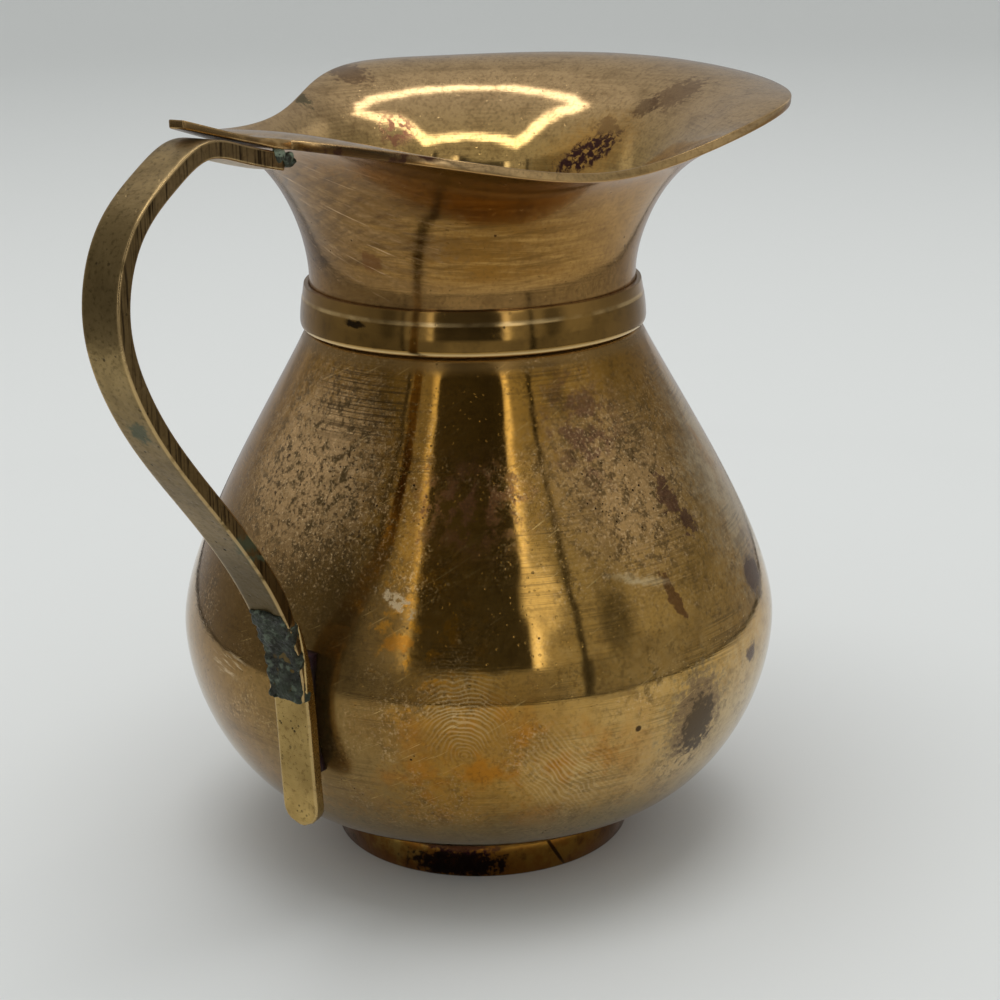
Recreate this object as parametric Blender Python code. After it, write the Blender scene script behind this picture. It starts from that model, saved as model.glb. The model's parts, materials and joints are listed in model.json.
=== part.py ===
"""Small brass cream jug.

A turned body on a foot ring carries a separate neck, whose wide lip is drawn out to a
pouring front and, at the back, to a tab. A collar hides the joint of body and neck. A flat
strap handle runs from under the tab down to the belly, where a short tail carries it on.

The foot stands on Z = 0. The lip pours toward +X, and the handle lies in the XZ plane on the
-X side. Every piece is modelled about the turned body's axis, and all of them are then moved
together, so that the middle of the jug's overall length stands over the origin.
"""

import math

import bmesh
import bpy
import numpy as np

MM = 0.001

# Fits: touching pieces keep this gap
FIT_GAP = 0.3 * MM

# Facets around the turned pieces
TURN_STEPS = 48
LIP_STEPS = 64

# Body: two curves meet at the belly
BELLY_RADIUS = 38.0 * MM
BELLY_HEIGHT = 29.7 * MM
BODY_WALL = 1.2 * MM
BASE_RADIUS = 20.0 * MM
BASE_HEIGHT = 6.1 * MM
BASE_SWEEP = 10.0 * MM
BELLY_DROP = 10.8 * MM
BELLY_RISE = 9.6 * MM
SHOULDER_RUN = 4.5 * MM
SHOULDER_DROP = 9.0 * MM
MOUTH_RADIUS = 20.8 * MM
MOUTH_HEIGHT = 67.5 * MM
BODY_ROWS = 11

# Foot ring and the solder inside it
FOOT_INSET = 0.8 * MM
FOOT_SPREAD = 0.3 * MM
FOOT_WALL = 1.6 * MM
FOOT_SOLDER_LEG = 1.3 * MM

# Neck: it stands on the body's mouth, and its spigot goes into it
NECK_STEP = 0.5 * MM
NECK_WALL = 1.1 * MM
SPIGOT_STEP = 1.3 * MM
SPIGOT_WALL = 0.9 * MM
SPIGOT_DEPTH = 4.0 * MM
FLARE_RISE = 6.4 * MM
FLARE_STRAIGHT = 0.26
FLARE_REACH = 0.27
FLARE_TILT = 1.6
FLARE_DROOP = 0.26
FLARE_SPAN = 30.0 * MM
FLARE_ROWS = 10

# Lip edge: direction from the pouring front in degrees, spread beyond the neck, rise above the mouth
LIP_STATIONS = (
    (0.0, 28.1 * MM, 28.1 * MM),
    (38.0, 22.9 * MM, 27.6 * MM),
    (58.0, 17.8 * MM, 27.2 * MM),
    (78.0, 10.1 * MM, 24.8 * MM),
    (105.0, 6.3 * MM, 23.0 * MM),
    (135.0, 10.3 * MM, 24.1 * MM),
    (160.0, 16.4 * MM, 26.5 * MM),
    (180.0, 19.7 * MM, 27.5 * MM),
)
LIP_ROLL = 1.6 * MM

# Handle section
STRAP_WIDTH = 4.8 * MM
STRAP_THICKNESS = 1.9 * MM
TAIL_THICKNESS = 1.6 * MM
TAIL_TIP_SWEEP = 80
TAIL_TIP_ROWS = 7
EDGE_ROUND = 0.2 * MM
HANDLE_ROWS = 64

# Tab at the back of the lip, as wide as the strap that it lies on; its far half lifts as a
# thumb rest. Each place is a distance out from the lip's back edge and a rise above it
TAB_ROOT_FLARE = 0.8 * MM
TAB_ROOT_OUT = 2.3 * MM
TAB_FLAT_OUT = 4.5 * MM
TAB_FLAT_RISE = 0.7 * MM
TAB_FLAT_THICKNESS = 0.8 * MM
TAB_LIFT_OUT = 7.8 * MM
TAB_LIFT_RISE = 1.4 * MM
TAB_LIFT_THICKNESS = 0.7 * MM
TAB_TIP_OUT = 13.6 * MM
TAB_TIP_RISE = 3.4 * MM
TAB_TIP_THICKNESS = 0.95 * MM
TAB_TIP_WIDTH = 2.0 * MM

# Collar: its wall at the full face and at the top of the ledge
COLLAR_HEIGHT = 5.2 * MM
COLLAR_FACE_HEIGHT = 3.5 * MM
COLLAR_WALL = 0.75 * MM
COLLAR_BULGE = 0.22 * MM
COLLAR_LEDGE_WALL = 0.35 * MM
COLLAR_ROWS = 7

# Handle: middle line of strap and tail. The crown's points lie out and up from the strap's
# seat under the tab, the others out from the belly and up from its height
STRAP_END_OUT = 0.6 * MM
STRAP_CROWN = (
    (5.4 * MM, 0.95 * MM),
    (10.7 * MM, -1.15 * MM),
    (17.0 * MM, -5.95 * MM),
)
STRAP_BOW = (
    (29.5 * MM, 50.8 * MM),
    (27.3 * MM, 42.8 * MM),
    (16.8 * MM, 28.5 * MM),
    (6.5 * MM, 14.4 * MM),
    (3.3 * MM, 6.6 * MM),
)
TAIL_LINE = (
    (2.5 * MM, 1.0 * MM),
    (2.0 * MM, -7.7 * MM),
    (1.5 * MM, -14.8 * MM),
)

# Scarf joint between strap and tail, with heights above the belly
SCARF_TOP = 15.3 * MM
SCARF_END = 1.6 * MM
SCARF_TIP = 0.45 * MM

# Braze and solder, with heights above the belly and narrower than the strap on each side
LAP_BRAZE_TOP = 13.3 * MM
LAP_BRAZE_END = 3.3 * MM
LAP_BRAZE_THICKNESS = 0.5 * MM
LAP_BRAZE_INSET = 0.4 * MM
LAP_BRAZE_ROUND = 0.15 * MM
TAIL_SOLDER_TOP = 5.8 * MM
TAIL_SOLDER_END = -9.2 * MM
TAIL_SOLDER_INSET = 0.5 * MM
RIM_BRAZE_LENGTH = 2.0 * MM
RIM_BRAZE_HEIGHT = 1.5 * MM
RIM_BRAZE_OVERHANG = 0.6 * MM

# Sizes that follow from others
FOOT_RADIUS = BASE_RADIUS - FOOT_INSET
NECK_RADIUS = MOUTH_RADIUS - NECK_STEP
SPIGOT_RADIUS = NECK_RADIUS - SPIGOT_STEP
LIP_BACK_REACH = NECK_RADIUS + LIP_STATIONS[-1][1]
LIP_BACK_HEIGHT = MOUTH_HEIGHT + LIP_STATIONS[-1][2]

# Colours as seen in daylight
BRASS_BODY = "#A88752"
BRASS_NECK = "#B08A55"
BRASS_COLLAR = "#8F7038"
BRASS_FOOT = "#8A5A22"
BRASS_HANDLE = "#8D7B4C"
BRASS_TAIL = "#C2A562"
BRAZE_GREEN = "#6E8577"
SOLDER_BROWN = "#5A4038"


def linear(hex_colour):
    """Turn a hex colour into the linear RGBA that a shader takes."""
    channels = [int(hex_colour[i:i + 2], 16) / 255 for i in (1, 3, 5)]
    curve = [c / 12.92 if c <= 0.04045 else ((c + 0.055) / 1.055) ** 2.4 for c in channels]
    return (*curve, 1.0)


def metal(name, hex_colour, roughness, metallic=1.0):
    """Make a plain metal material."""
    material = bpy.data.materials.new(name)
    material.use_nodes = True
    shader = material.node_tree.nodes["Principled BSDF"]
    shader.inputs["Base Color"].default_value = linear(hex_colour)
    shader.inputs["Roughness"].default_value = roughness
    shader.inputs["Metallic"].default_value = metallic
    return material


def add_object(name, mesh, material):
    """Link a mesh as a named object with one material."""
    mesh.materials.clear()
    mesh.materials.append(material)
    piece = bpy.data.objects.new(name, mesh)
    bpy.context.collection.objects.link(piece)
    return piece


def shade_round(piece, edge_angle=40):
    """Shade a round piece smooth and keep its true edges sharp."""
    piece.data.shade_smooth()
    piece.data.set_sharp_from_angle(angle=math.radians(edge_angle))


def apply_modifiers(piece):
    """Replace the piece's mesh with the one that its modifiers give."""
    bpy.context.view_layer.update()
    depsgraph = bpy.context.evaluated_depsgraph_get()
    finished = bpy.data.meshes.new_from_object(piece.evaluated_get(depsgraph))
    piece.modifiers.clear()
    piece.data = finished


def bezier(start, start_handle, end_handle, end, count):
    """Points on a cubic curve, both ends included."""
    corners = [np.array(p) for p in (start, start_handle, end_handle, end)]
    points = []
    for t in np.linspace(0, 1, count):
        weights = ((1 - t) ** 3, 3 * t * (1 - t) ** 2, 3 * t * t * (1 - t), t ** 3)
        points.append(sum(w * c for w, c in zip(weights, corners)))
    return np.array(points)


def arc_bulge(start, end, bulge, count):
    """Points from start to end that swell by bulge toward larger radius."""
    t = np.linspace(0, 1, count)[:, None]
    points = (1 - t) * np.array(start) + t * np.array(end)
    points[:, 0] += bulge * (1 - (2 * t[:, 0] - 1) ** 2)
    return points


def smooth_curve(knots, values, at):
    """Natural cubic spline through values at knots, read at the given places."""
    knots = np.asarray(knots, dtype=float)
    values = np.asarray(values, dtype=float)
    count = len(knots)
    step = np.diff(knots)
    matrix = np.eye(count)
    right = np.zeros(values.shape)
    for i in range(1, count - 1):
        matrix[i, i - 1:i + 2] = step[i - 1], 2 * (step[i - 1] + step[i]), step[i]
        right[i] = 6 * ((values[i + 1] - values[i]) / step[i] - (values[i] - values[i - 1]) / step[i - 1])
    bend = np.linalg.solve(matrix, right)
    result = []
    for x in at:
        i = min(max(int(np.searchsorted(knots, x)) - 1, 0), count - 2)
        h = step[i]
        a = (knots[i + 1] - x) / h
        b = (x - knots[i]) / h
        cubic = ((a ** 3 - a) * bend[i] + (b ** 3 - b) * bend[i + 1]) * h * h / 6
        result.append(a * values[i] + b * values[i + 1] + cubic)
    return np.array(result)


def offset_line(points, distance):
    """Shift a line in the XZ plane to its left, seen along its own direction."""
    tangent = np.gradient(points, axis=0)
    tangent /= np.linalg.norm(tangent, axis=1)[:, None]
    normal = np.stack([-tangent[:, 1], tangent[:, 0]], axis=1)
    return points + distance * normal


def turned(name, profile, material, closed):
    """Turn a profile of radius and height about Z; its outer side runs top to bottom."""
    mesh = bpy.data.meshes.new(name)
    count = len(profile)
    edges = [(i, i + 1) for i in range(count - 1)]
    if closed:
        edges.append((count - 1, 0))
    mesh.from_pydata([(r, 0, z) for r, z in profile], edges, [])
    piece = add_object(name, mesh, material)
    screw = piece.modifiers.new("Turn", "SCREW")
    screw.axis = "Z"
    screw.steps = TURN_STEPS
    screw.render_steps = TURN_STEPS
    screw.use_merge_vertices = True
    screw.merge_threshold = 0.00001
    apply_modifiers(piece)
    shade_round(piece)


def body_curve():
    """Outer line of the body from the mouth down to the base."""
    belly = (BELLY_RADIUS, BELLY_HEIGHT)
    upper = bezier((MOUTH_RADIUS, MOUTH_HEIGHT),
                   (MOUTH_RADIUS + SHOULDER_RUN, MOUTH_HEIGHT - SHOULDER_DROP),
                   (BELLY_RADIUS, BELLY_HEIGHT + BELLY_RISE), belly, BODY_ROWS)
    lower = bezier(belly, (BELLY_RADIUS, BELLY_HEIGHT - BELLY_DROP),
                   (BASE_RADIUS + BASE_SWEEP, BASE_HEIGHT), (BASE_RADIUS, BASE_HEIGHT), BODY_ROWS)
    return np.vstack([upper, lower[1:]])


def body_radius(height):
    """Outer radius of the body at a height above the base."""
    curve = body_curve()[::-1]
    return float(np.interp(height, curve[:, 1], curve[:, 0]))


def make_body(material):
    """Body shell: inner side up from the middle of the floor, then outer side down."""
    outer = body_curve()
    inner = offset_line(outer, -BODY_WALL)[::-1]
    inner[-1] = (SPIGOT_RADIUS + FIT_GAP, MOUTH_HEIGHT)
    floor = [(0.0, BASE_HEIGHT + BODY_WALL)]
    underside = [(0.0, BASE_HEIGHT)]
    turned("body_shell", [*floor, *inner, *outer, *underside], material, closed=False)


def make_foot(material):
    """Foot ring under the base, a little wider at its top."""
    top = BASE_HEIGHT - FIT_GAP
    wide = FOOT_RADIUS + FOOT_SPREAD
    profile = [(wide, top), (FOOT_RADIUS, 0.0), (FOOT_RADIUS - FOOT_WALL, 0.0), (wide - FOOT_WALL, top)]
    turned("foot_ring", profile, material, closed=True)


def make_foot_solder(material):
    """Solder fillet in the corner between the foot ring's inside and the base."""
    top = BASE_HEIGHT - FIT_GAP
    outer = FOOT_RADIUS - FOOT_WALL - FIT_GAP
    profile = [(outer, top), (outer, top - FOOT_SOLDER_LEG), (outer - FOOT_SOLDER_LEG, top)]
    turned("foot_solder", profile, material, closed=True)


def make_collar(material):
    """Collar ring round the joint: a full face, then a ledge that slopes to the neck."""
    bottom = MOUTH_HEIGHT + FIT_GAP
    top = bottom + COLLAR_HEIGHT
    inner = NECK_RADIUS + FIT_GAP
    outer = inner + COLLAR_WALL
    face = arc_bulge((outer, bottom + COLLAR_FACE_HEIGHT), (outer, bottom), COLLAR_BULGE, COLLAR_ROWS)
    profile = [(inner + COLLAR_LEDGE_WALL, top), *face, (inner, bottom), (inner, top)]
    turned("collar_ring", profile, material, closed=True)


def lip_edge(direction):
    """Reach and height of the lip's top edge in a direction, in degrees from -180 to 180."""
    stations = [(-d, r, z) for d, r, z in LIP_STATIONS[:0:-1]] + list(LIP_STATIONS)
    before = [(d - 360, r, z) for d, r, z in stations[:-1]]
    after = [(d + 360, r, z) for d, r, z in stations[1:]]
    ring = np.array(before + stations + after)
    spread, rise = smooth_curve(ring[:, 0], ring[:, 1:], [direction])[0]
    roll = LIP_ROLL * math.sin(math.radians(direction))
    return NECK_RADIUS + spread, MOUTH_HEIGHT + rise + roll


def flare_line(direction):
    """Inner line of the neck in one direction, from the straight neck up to the lip."""
    reach, height = lip_edge(direction)
    start = NECK_RADIUS - NECK_WALL
    spread = reach - start
    flare_start = MOUTH_HEIGHT + FLARE_RISE
    tilt = FLARE_TILT * max(1 - spread / FLARE_SPAN, 0) ** 2 - FLARE_DROOP
    return bezier((start, flare_start),
                  (start, flare_start + FLARE_STRAIGHT * (height - flare_start)),
                  (start + FLARE_REACH * spread, height - (1 - FLARE_REACH) * spread * tilt),
                  (reach, height), FLARE_ROWS)


def neck_profile(direction):
    """Closed line round the neck's wall in one direction, outer side first."""
    inner = flare_line(direction)
    outer = offset_line(inner, -NECK_WALL)
    seat = MOUTH_HEIGHT + FIT_GAP
    spigot_end = MOUTH_HEIGHT - SPIGOT_DEPTH
    below_outer = [(SPIGOT_RADIUS, spigot_end), (SPIGOT_RADIUS, seat), (NECK_RADIUS, seat)]
    bore = SPIGOT_RADIUS - SPIGOT_WALL
    below_inner = [(bore, seat), (bore, spigot_end)]
    return [*below_outer, *outer, *inner[::-1], *below_inner], len(below_outer) + FLARE_ROWS - 1


def make_neck(material):
    """Neck and lip in one skin, with the tab drawn out of the lip's back edge."""
    form = bmesh.new()
    columns = []
    for i in range(LIP_STEPS):
        direction = -180 + 360 * i / LIP_STEPS
        angle = math.radians(direction)
        line, edge_row = neck_profile(direction)
        columns.append([form.verts.new((r * math.cos(angle), r * math.sin(angle), z)) for r, z in line])
    rows = len(columns[0])
    tab_columns = (-1, 0, 1)
    for i in range(LIP_STEPS):
        left, right = columns[i], columns[(i + 1) % LIP_STEPS]
        for j in range(rows):
            if j == edge_row and i in (0, LIP_STEPS - 1):
                continue
            k = (j + 1) % rows
            form.faces.new((left[j], right[j], right[k], left[k]))
    under = [columns[c][edge_row] for c in tab_columns]
    over = [columns[c][edge_row + 1] for c in tab_columns]
    add_tab(form, over, under)
    bmesh.ops.recalc_face_normals(form, faces=form.faces)
    mesh = bpy.data.meshes.new("neck_spout")
    form.to_mesh(mesh)
    form.free()
    shade_round(add_object("neck_spout", mesh, material))


def tab_sections():
    """Rows of the tab as distance out, rise, thickness, and Y of its far and near edges."""
    half_width = STRAP_WIDTH / 2
    root_half_width = half_width + TAB_ROOT_FLARE
    near_tip = half_width - TAB_TIP_WIDTH
    middle_out = (TAB_LIFT_OUT + TAB_TIP_OUT) / 2
    middle_rise = (TAB_LIFT_RISE + TAB_TIP_RISE) / 2
    middle_near = (near_tip - half_width) / 2
    middle_thickness = (TAB_LIFT_THICKNESS + TAB_TIP_THICKNESS) / 2
    return (
        (TAB_ROOT_OUT, TAB_FLAT_RISE / 2, NECK_WALL, root_half_width, -root_half_width),
        (TAB_FLAT_OUT, TAB_FLAT_RISE, TAB_FLAT_THICKNESS, half_width, -half_width),
        (TAB_LIFT_OUT, TAB_LIFT_RISE, TAB_LIFT_THICKNESS, half_width, -half_width),
        (middle_out, middle_rise, middle_thickness, half_width, middle_near),
        (TAB_TIP_OUT, TAB_TIP_RISE, TAB_TIP_THICKNESS, half_width, near_tip),
    )


def add_tab(form, over, under):
    """Draw the tab out of the open stretch of the lip's edge, far side first."""
    for out, rise, thickness, far, near in tab_sections():
        x = -LIP_BACK_REACH - out
        top = LIP_BACK_HEIGHT + rise
        middle = (far + near) / 2
        row_over = [form.verts.new((x, y, top)) for y in (far, middle, near)]
        row_under = [form.verts.new((x, y, top - thickness)) for y in (far, middle, near)]
        for a in (0, 1):
            form.faces.new((over[a], over[a + 1], row_over[a + 1], row_over[a]))
            form.faces.new((under[a], row_under[a], row_under[a + 1], under[a + 1]))
        for a in (0, 2):
            form.faces.new((over[a], row_over[a], row_under[a], under[a]))
        over, under = row_over, row_under
    for a in (0, 1):
        form.faces.new((over[a], over[a + 1], under[a + 1], under[a]))


def handle_points():
    """Points of the handle's middle line, from the lip down to the tail's tip, as X and Z."""
    below_sheet = FIT_GAP + STRAP_THICKNESS / 2
    seat_x = -LIP_BACK_REACH - TAB_LIFT_OUT
    seat_z = LIP_BACK_HEIGHT + TAB_LIFT_RISE - TAB_LIFT_THICKNESS - below_sheet
    points = [(-LIP_BACK_REACH - STRAP_END_OUT, LIP_BACK_HEIGHT - NECK_WALL - below_sheet)]
    points.append((seat_x, seat_z))
    points += [(seat_x - out, seat_z + rise) for out, rise in STRAP_CROWN]
    points += [(-BELLY_RADIUS - out, BELLY_HEIGHT + rise) for out, rise in (*STRAP_BOW, *TAIL_LINE)]
    return np.array(points)


def handle_line():
    """Middle line of strap and tail as evenly spaced points, and its outward normals."""
    points = handle_points()
    length = np.concatenate([[0], np.cumsum(np.linalg.norm(np.diff(points, axis=0), axis=1))])
    line = smooth_curve(length, points, np.linspace(0, length[-1], HANDLE_ROWS))
    outward = offset_line(line, -1.0) - line
    return line, outward


def bar(name, line, outward, outer, inner, half_width, material):
    """Bar along a line in the XZ plane, with its own face offsets and width at each row."""
    form = bmesh.new()
    rows = []
    for point, normal, far, near, half in zip(line, outward, outer, inner, half_width):
        outer_x, outer_z = point + far * normal
        inner_x, inner_z = point + near * normal
        corners = ((outer_x, half, outer_z), (outer_x, -half, outer_z),
                   (inner_x, -half, inner_z), (inner_x, half, inner_z))
        rows.append([form.verts.new(corner) for corner in corners])
    for first, second in zip(rows, rows[1:]):
        for a in range(4):
            b = (a + 1) % 4
            form.faces.new((first[a], first[b], second[b], second[a]))
    form.faces.new(rows[0][::-1])
    form.faces.new(rows[-1])
    bmesh.ops.recalc_face_normals(form, faces=form.faces)
    mesh = bpy.data.meshes.new(name)
    form.to_mesh(mesh)
    form.free()
    return add_object(name, mesh, material)


def round_edges(piece, width):
    """Round the long edges of a bar."""
    bevel = piece.modifiers.new("Rounded edges", "BEVEL")
    bevel.width = width
    bevel.segments = 2
    bevel.limit_method = "ANGLE"
    bevel.angle_limit = math.radians(50)
    apply_modifiers(piece)
    shade_round(piece)


def scarf_offset(line):
    """Offset of the slanted joint face from the middle line, down through the scarf."""
    rise = line[:, 1] - BELLY_HEIGHT
    share = np.clip((SCARF_TOP - rise) / (SCARF_TOP - SCARF_END), 0, 1)
    inner_face = -STRAP_THICKNESS / 2
    tail_face = inner_face + TAIL_THICKNESS + FIT_GAP
    return inner_face + share * (tail_face - inner_face)


def between(line, low, high):
    """Which points of a line lie between two heights above the belly."""
    rise = line[:, 1] - BELLY_HEIGHT
    return (rise > low) & (rise < high)


def make_strap(material):
    """Strap from the lip to the end of the scarf, where it thins to a tip."""
    line, outward = handle_line()
    keep = line[:, 1] > BELLY_HEIGHT + SCARF_END
    joint = scarf_offset(line)
    outer = np.maximum(STRAP_THICKNESS / 2, joint + SCARF_TIP)
    half = np.full(len(line), STRAP_WIDTH / 2)
    strap = bar("handle_strap", line[keep], outward[keep], outer[keep], joint[keep], half[keep], material)
    round_edges(strap, EDGE_ROUND)


def make_tail(material):
    """Tail from inside the scarf down to its rounded end."""
    line, outward = handle_line()
    inner_face = -STRAP_THICKNESS / 2
    tail_face = inner_face + TAIL_THICKNESS
    joint = np.minimum(scarf_offset(line) - FIT_GAP, tail_face)
    keep = joint > inner_face + SCARF_TIP
    line, outward, joint = line[keep], outward[keep], joint[keep]
    radius = STRAP_WIDTH / 2
    to_tip = line[:, 1] - line[-1, 1]
    start = int(np.argmax(to_tip < radius))
    turn = np.radians(np.linspace(0, TAIL_TIP_SWEEP, TAIL_TIP_ROWS))
    tip_z = line[-1, 1] + radius * (1 - np.sin(turn))
    order = np.argsort(line[:, 1])
    tip_x = np.interp(tip_z, line[order, 1], line[order, 0])
    rounded = np.stack([tip_x, tip_z], axis=1)
    line = np.vstack([line[:start], rounded])
    outward = np.vstack([outward[:start], np.repeat(outward[start][None], len(turn), axis=0)])
    joint = np.concatenate([joint[:start], np.full(len(turn), tail_face)])
    half = np.concatenate([np.full(start, radius), radius * np.cos(turn)])
    inner = np.full(len(line), inner_face)
    tail = bar("handle_tail", line, outward, joint, inner, half, material)
    round_edges(tail, EDGE_ROUND)


def make_lap_braze(material):
    """Crust of braze over the strap's outer face at the scarf."""
    line, outward = handle_line()
    keep = between(line, LAP_BRAZE_END, LAP_BRAZE_TOP)
    face = np.maximum(STRAP_THICKNESS / 2, scarf_offset(line) + SCARF_TIP) + FIT_GAP
    half = np.full(len(line), STRAP_WIDTH / 2 - LAP_BRAZE_INSET)
    crust = bar("lap_braze", line[keep], outward[keep], face[keep] + LAP_BRAZE_THICKNESS, face[keep],
                half[keep], material)
    round_edges(crust, LAP_BRAZE_ROUND)


def make_tail_solder(material):
    """Solder between the belly and the inner face of strap and tail."""
    line, outward = handle_line()
    inner_line = line - outward * (STRAP_THICKNESS / 2 + FIT_GAP)
    keep = between(line, TAIL_SOLDER_END, TAIL_SOLDER_TOP)
    outer_edge = inner_line[keep]
    body_edge = np.array([(-body_radius(z) - FIT_GAP, z) for z in outer_edge[:, 1]])
    thickness = body_edge[:, 0] - outer_edge[:, 0]
    sideways = np.tile((1.0, 0.0), (len(thickness), 1))
    half = np.full(len(thickness), STRAP_WIDTH / 2 - TAIL_SOLDER_INSET)
    bar("tail_solder", outer_edge, sideways, np.zeros(len(thickness)), thickness, half, material)


def make_rim_braze(material):
    """Bead of braze under the lip against the strap's upper end."""
    line, _ = handle_line()
    end_x, end_z = line[0]
    bead = bmesh.new()
    bmesh.ops.create_icosphere(bead, subdivisions=2, radius=0.5)
    size = (RIM_BRAZE_LENGTH, STRAP_WIDTH + 2 * RIM_BRAZE_OVERHANG, RIM_BRAZE_HEIGHT)
    bmesh.ops.scale(bead, vec=size, verts=bead.verts)
    place = (end_x + FIT_GAP + RIM_BRAZE_LENGTH / 2, 0, end_z - FIT_GAP / 2)
    bmesh.ops.translate(bead, vec=place, verts=bead.verts)
    mesh = bpy.data.meshes.new("rim_braze")
    bead.to_mesh(mesh)
    bead.free()
    shade_round(add_object("rim_braze", mesh, material))


def centre_length():
    """Hang every piece on one empty, which puts the middle of the overall length at X = 0."""
    pieces = list(bpy.data.objects)
    ends = [corner[0] for piece in pieces for corner in piece.bound_box]
    carrier = bpy.data.objects.new("jug", None)
    bpy.context.collection.objects.link(carrier)
    for piece in pieces:
        piece.parent = carrier
    carrier.location.x = -(min(ends) + max(ends)) / 2


def main():
    """Clear the scene and build every piece of the jug."""
    for leftover in list(bpy.data.objects):
        bpy.data.objects.remove(leftover, do_unlink=True)
    make_body(metal("brass_body", BRASS_BODY, 0.28))
    make_neck(metal("brass_neck", BRASS_NECK, 0.26))
    make_collar(metal("brass_collar", BRASS_COLLAR, 0.2))
    make_foot(metal("brass_foot", BRASS_FOOT, 0.35))
    make_foot_solder(metal("solder_foot", SOLDER_BROWN, 0.6))
    make_strap(metal("brass_strap", BRASS_HANDLE, 0.35))
    make_tail(metal("brass_tail", BRASS_TAIL, 0.35))
    make_lap_braze(metal("braze_lap", BRAZE_GREEN, 0.7, metallic=0.3))
    make_tail_solder(metal("solder_tail", SOLDER_BROWN, 0.6))
    make_rim_braze(metal("braze_rim", BRAZE_GREEN, 0.7, metallic=0.3))
    centre_length()


main()
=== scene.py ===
# %% [markdown]
# # A small brass cream jug, dressed for its picture
#
# The jug is about ten centimetres high. Its body and neck were spun from sheet brass on a
# lathe, a collar hides where the two meet, the foot is a bent strip, and the handle is a
# flat strap brazed under the lip and to the belly. It has been handled for decades, so the
# brass is brown and mottled where nobody rubbed it and bright where fingers went.
#
# The CAD model of the jug is loaded first as a fixed frame. Every finer piece below takes
# the place of one of its solids, on the same spot.

import json
import math

import bmesh
import bpy
import numpy as np
from mathutils import Matrix, Vector, noise

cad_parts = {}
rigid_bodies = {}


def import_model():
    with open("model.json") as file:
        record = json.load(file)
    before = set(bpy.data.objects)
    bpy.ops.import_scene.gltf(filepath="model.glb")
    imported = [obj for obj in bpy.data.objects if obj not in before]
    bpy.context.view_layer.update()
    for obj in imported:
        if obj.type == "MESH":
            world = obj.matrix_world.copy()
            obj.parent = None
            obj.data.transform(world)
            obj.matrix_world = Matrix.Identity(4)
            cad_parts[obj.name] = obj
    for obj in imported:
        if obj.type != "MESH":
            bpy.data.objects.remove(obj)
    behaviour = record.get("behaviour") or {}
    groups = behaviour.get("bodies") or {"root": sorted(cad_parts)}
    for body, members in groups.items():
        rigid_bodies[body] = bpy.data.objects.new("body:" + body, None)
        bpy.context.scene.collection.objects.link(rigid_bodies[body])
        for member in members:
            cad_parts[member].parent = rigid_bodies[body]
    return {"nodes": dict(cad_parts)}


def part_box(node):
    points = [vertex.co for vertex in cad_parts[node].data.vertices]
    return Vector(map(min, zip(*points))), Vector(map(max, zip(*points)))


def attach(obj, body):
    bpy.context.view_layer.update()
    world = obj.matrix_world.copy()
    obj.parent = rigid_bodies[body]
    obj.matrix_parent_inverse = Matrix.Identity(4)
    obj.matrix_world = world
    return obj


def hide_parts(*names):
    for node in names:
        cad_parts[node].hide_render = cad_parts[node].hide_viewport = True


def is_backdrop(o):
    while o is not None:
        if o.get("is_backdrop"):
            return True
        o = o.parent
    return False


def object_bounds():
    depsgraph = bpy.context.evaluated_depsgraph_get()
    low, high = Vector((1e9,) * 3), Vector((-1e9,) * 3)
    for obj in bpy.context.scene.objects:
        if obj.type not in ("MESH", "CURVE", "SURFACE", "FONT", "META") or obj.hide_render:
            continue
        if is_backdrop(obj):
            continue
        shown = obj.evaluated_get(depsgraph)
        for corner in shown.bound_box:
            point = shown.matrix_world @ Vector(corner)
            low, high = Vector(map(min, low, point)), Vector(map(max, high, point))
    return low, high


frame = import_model()
CAD_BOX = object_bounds()
print("Solids in the frame:", ", ".join(sorted(frame["nodes"])))

# %% [markdown]
# Blender works in metres here, and MM turns millimetres into them. The turned pieces share
# one upright axis. It isn't in the middle of the frame, because the handle and the lip
# reach out by different amounts, so its place is measured from the box of the body's solid.

# %% Units and the turning axis
MM = 0.001
body_low, body_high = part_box("body_shell")
AXIS_X = (body_low[0] + body_high[0]) / 2
print(f"Turning axis at x = {AXIS_X / MM:.2f} mm")

# %% [markdown]
# ## The body
#
# The body is a pear-shaped shell about 76 mm wide. A disc of sheet brass was pushed over a
# wooden form on the lathe until it had this shape, so it is round to a tenth of a
# millimetre, with a wall a little over one millimetre thick. A sphere could be pulled into
# this shape, but a lathe piece is plainest as a line that is turned about an axis.
#
# Two Bezier curves that meet at the widest place, the belly, give the outside with few
# numbers and no kinks. The same line, shifted inwards, gives the inside.

# %% Outline of the body
BODY_WALL = 1.2 * MM
BELLY = (38.0 * MM, 29.7 * MM)
MOUTH = (20.8 * MM, 67.5 * MM)
BASE = (20.0 * MM, 6.1 * MM)


def bezier(start, start_handle, end_handle, end, count):
    """Points on a cubic curve, both ends included."""
    corners = [np.array(p, dtype=float) for p in (start, start_handle, end_handle, end)]
    points = []
    for t in np.linspace(0, 1, count):
        weights = ((1 - t) ** 3, 3 * t * (1 - t) ** 2, 3 * t * t * (1 - t), t ** 3)
        points.append(sum(w * c for w, c in zip(weights, corners)))
    return np.array(points)


def offset_line(points, distance):
    """Shift a line to its left, seen along its own direction."""
    tangent = np.gradient(points, axis=0)
    tangent /= np.linalg.norm(tangent, axis=1)[:, None]
    normal = np.stack([-tangent[:, 1], tangent[:, 0]], axis=1)
    return points + distance * normal


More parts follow.
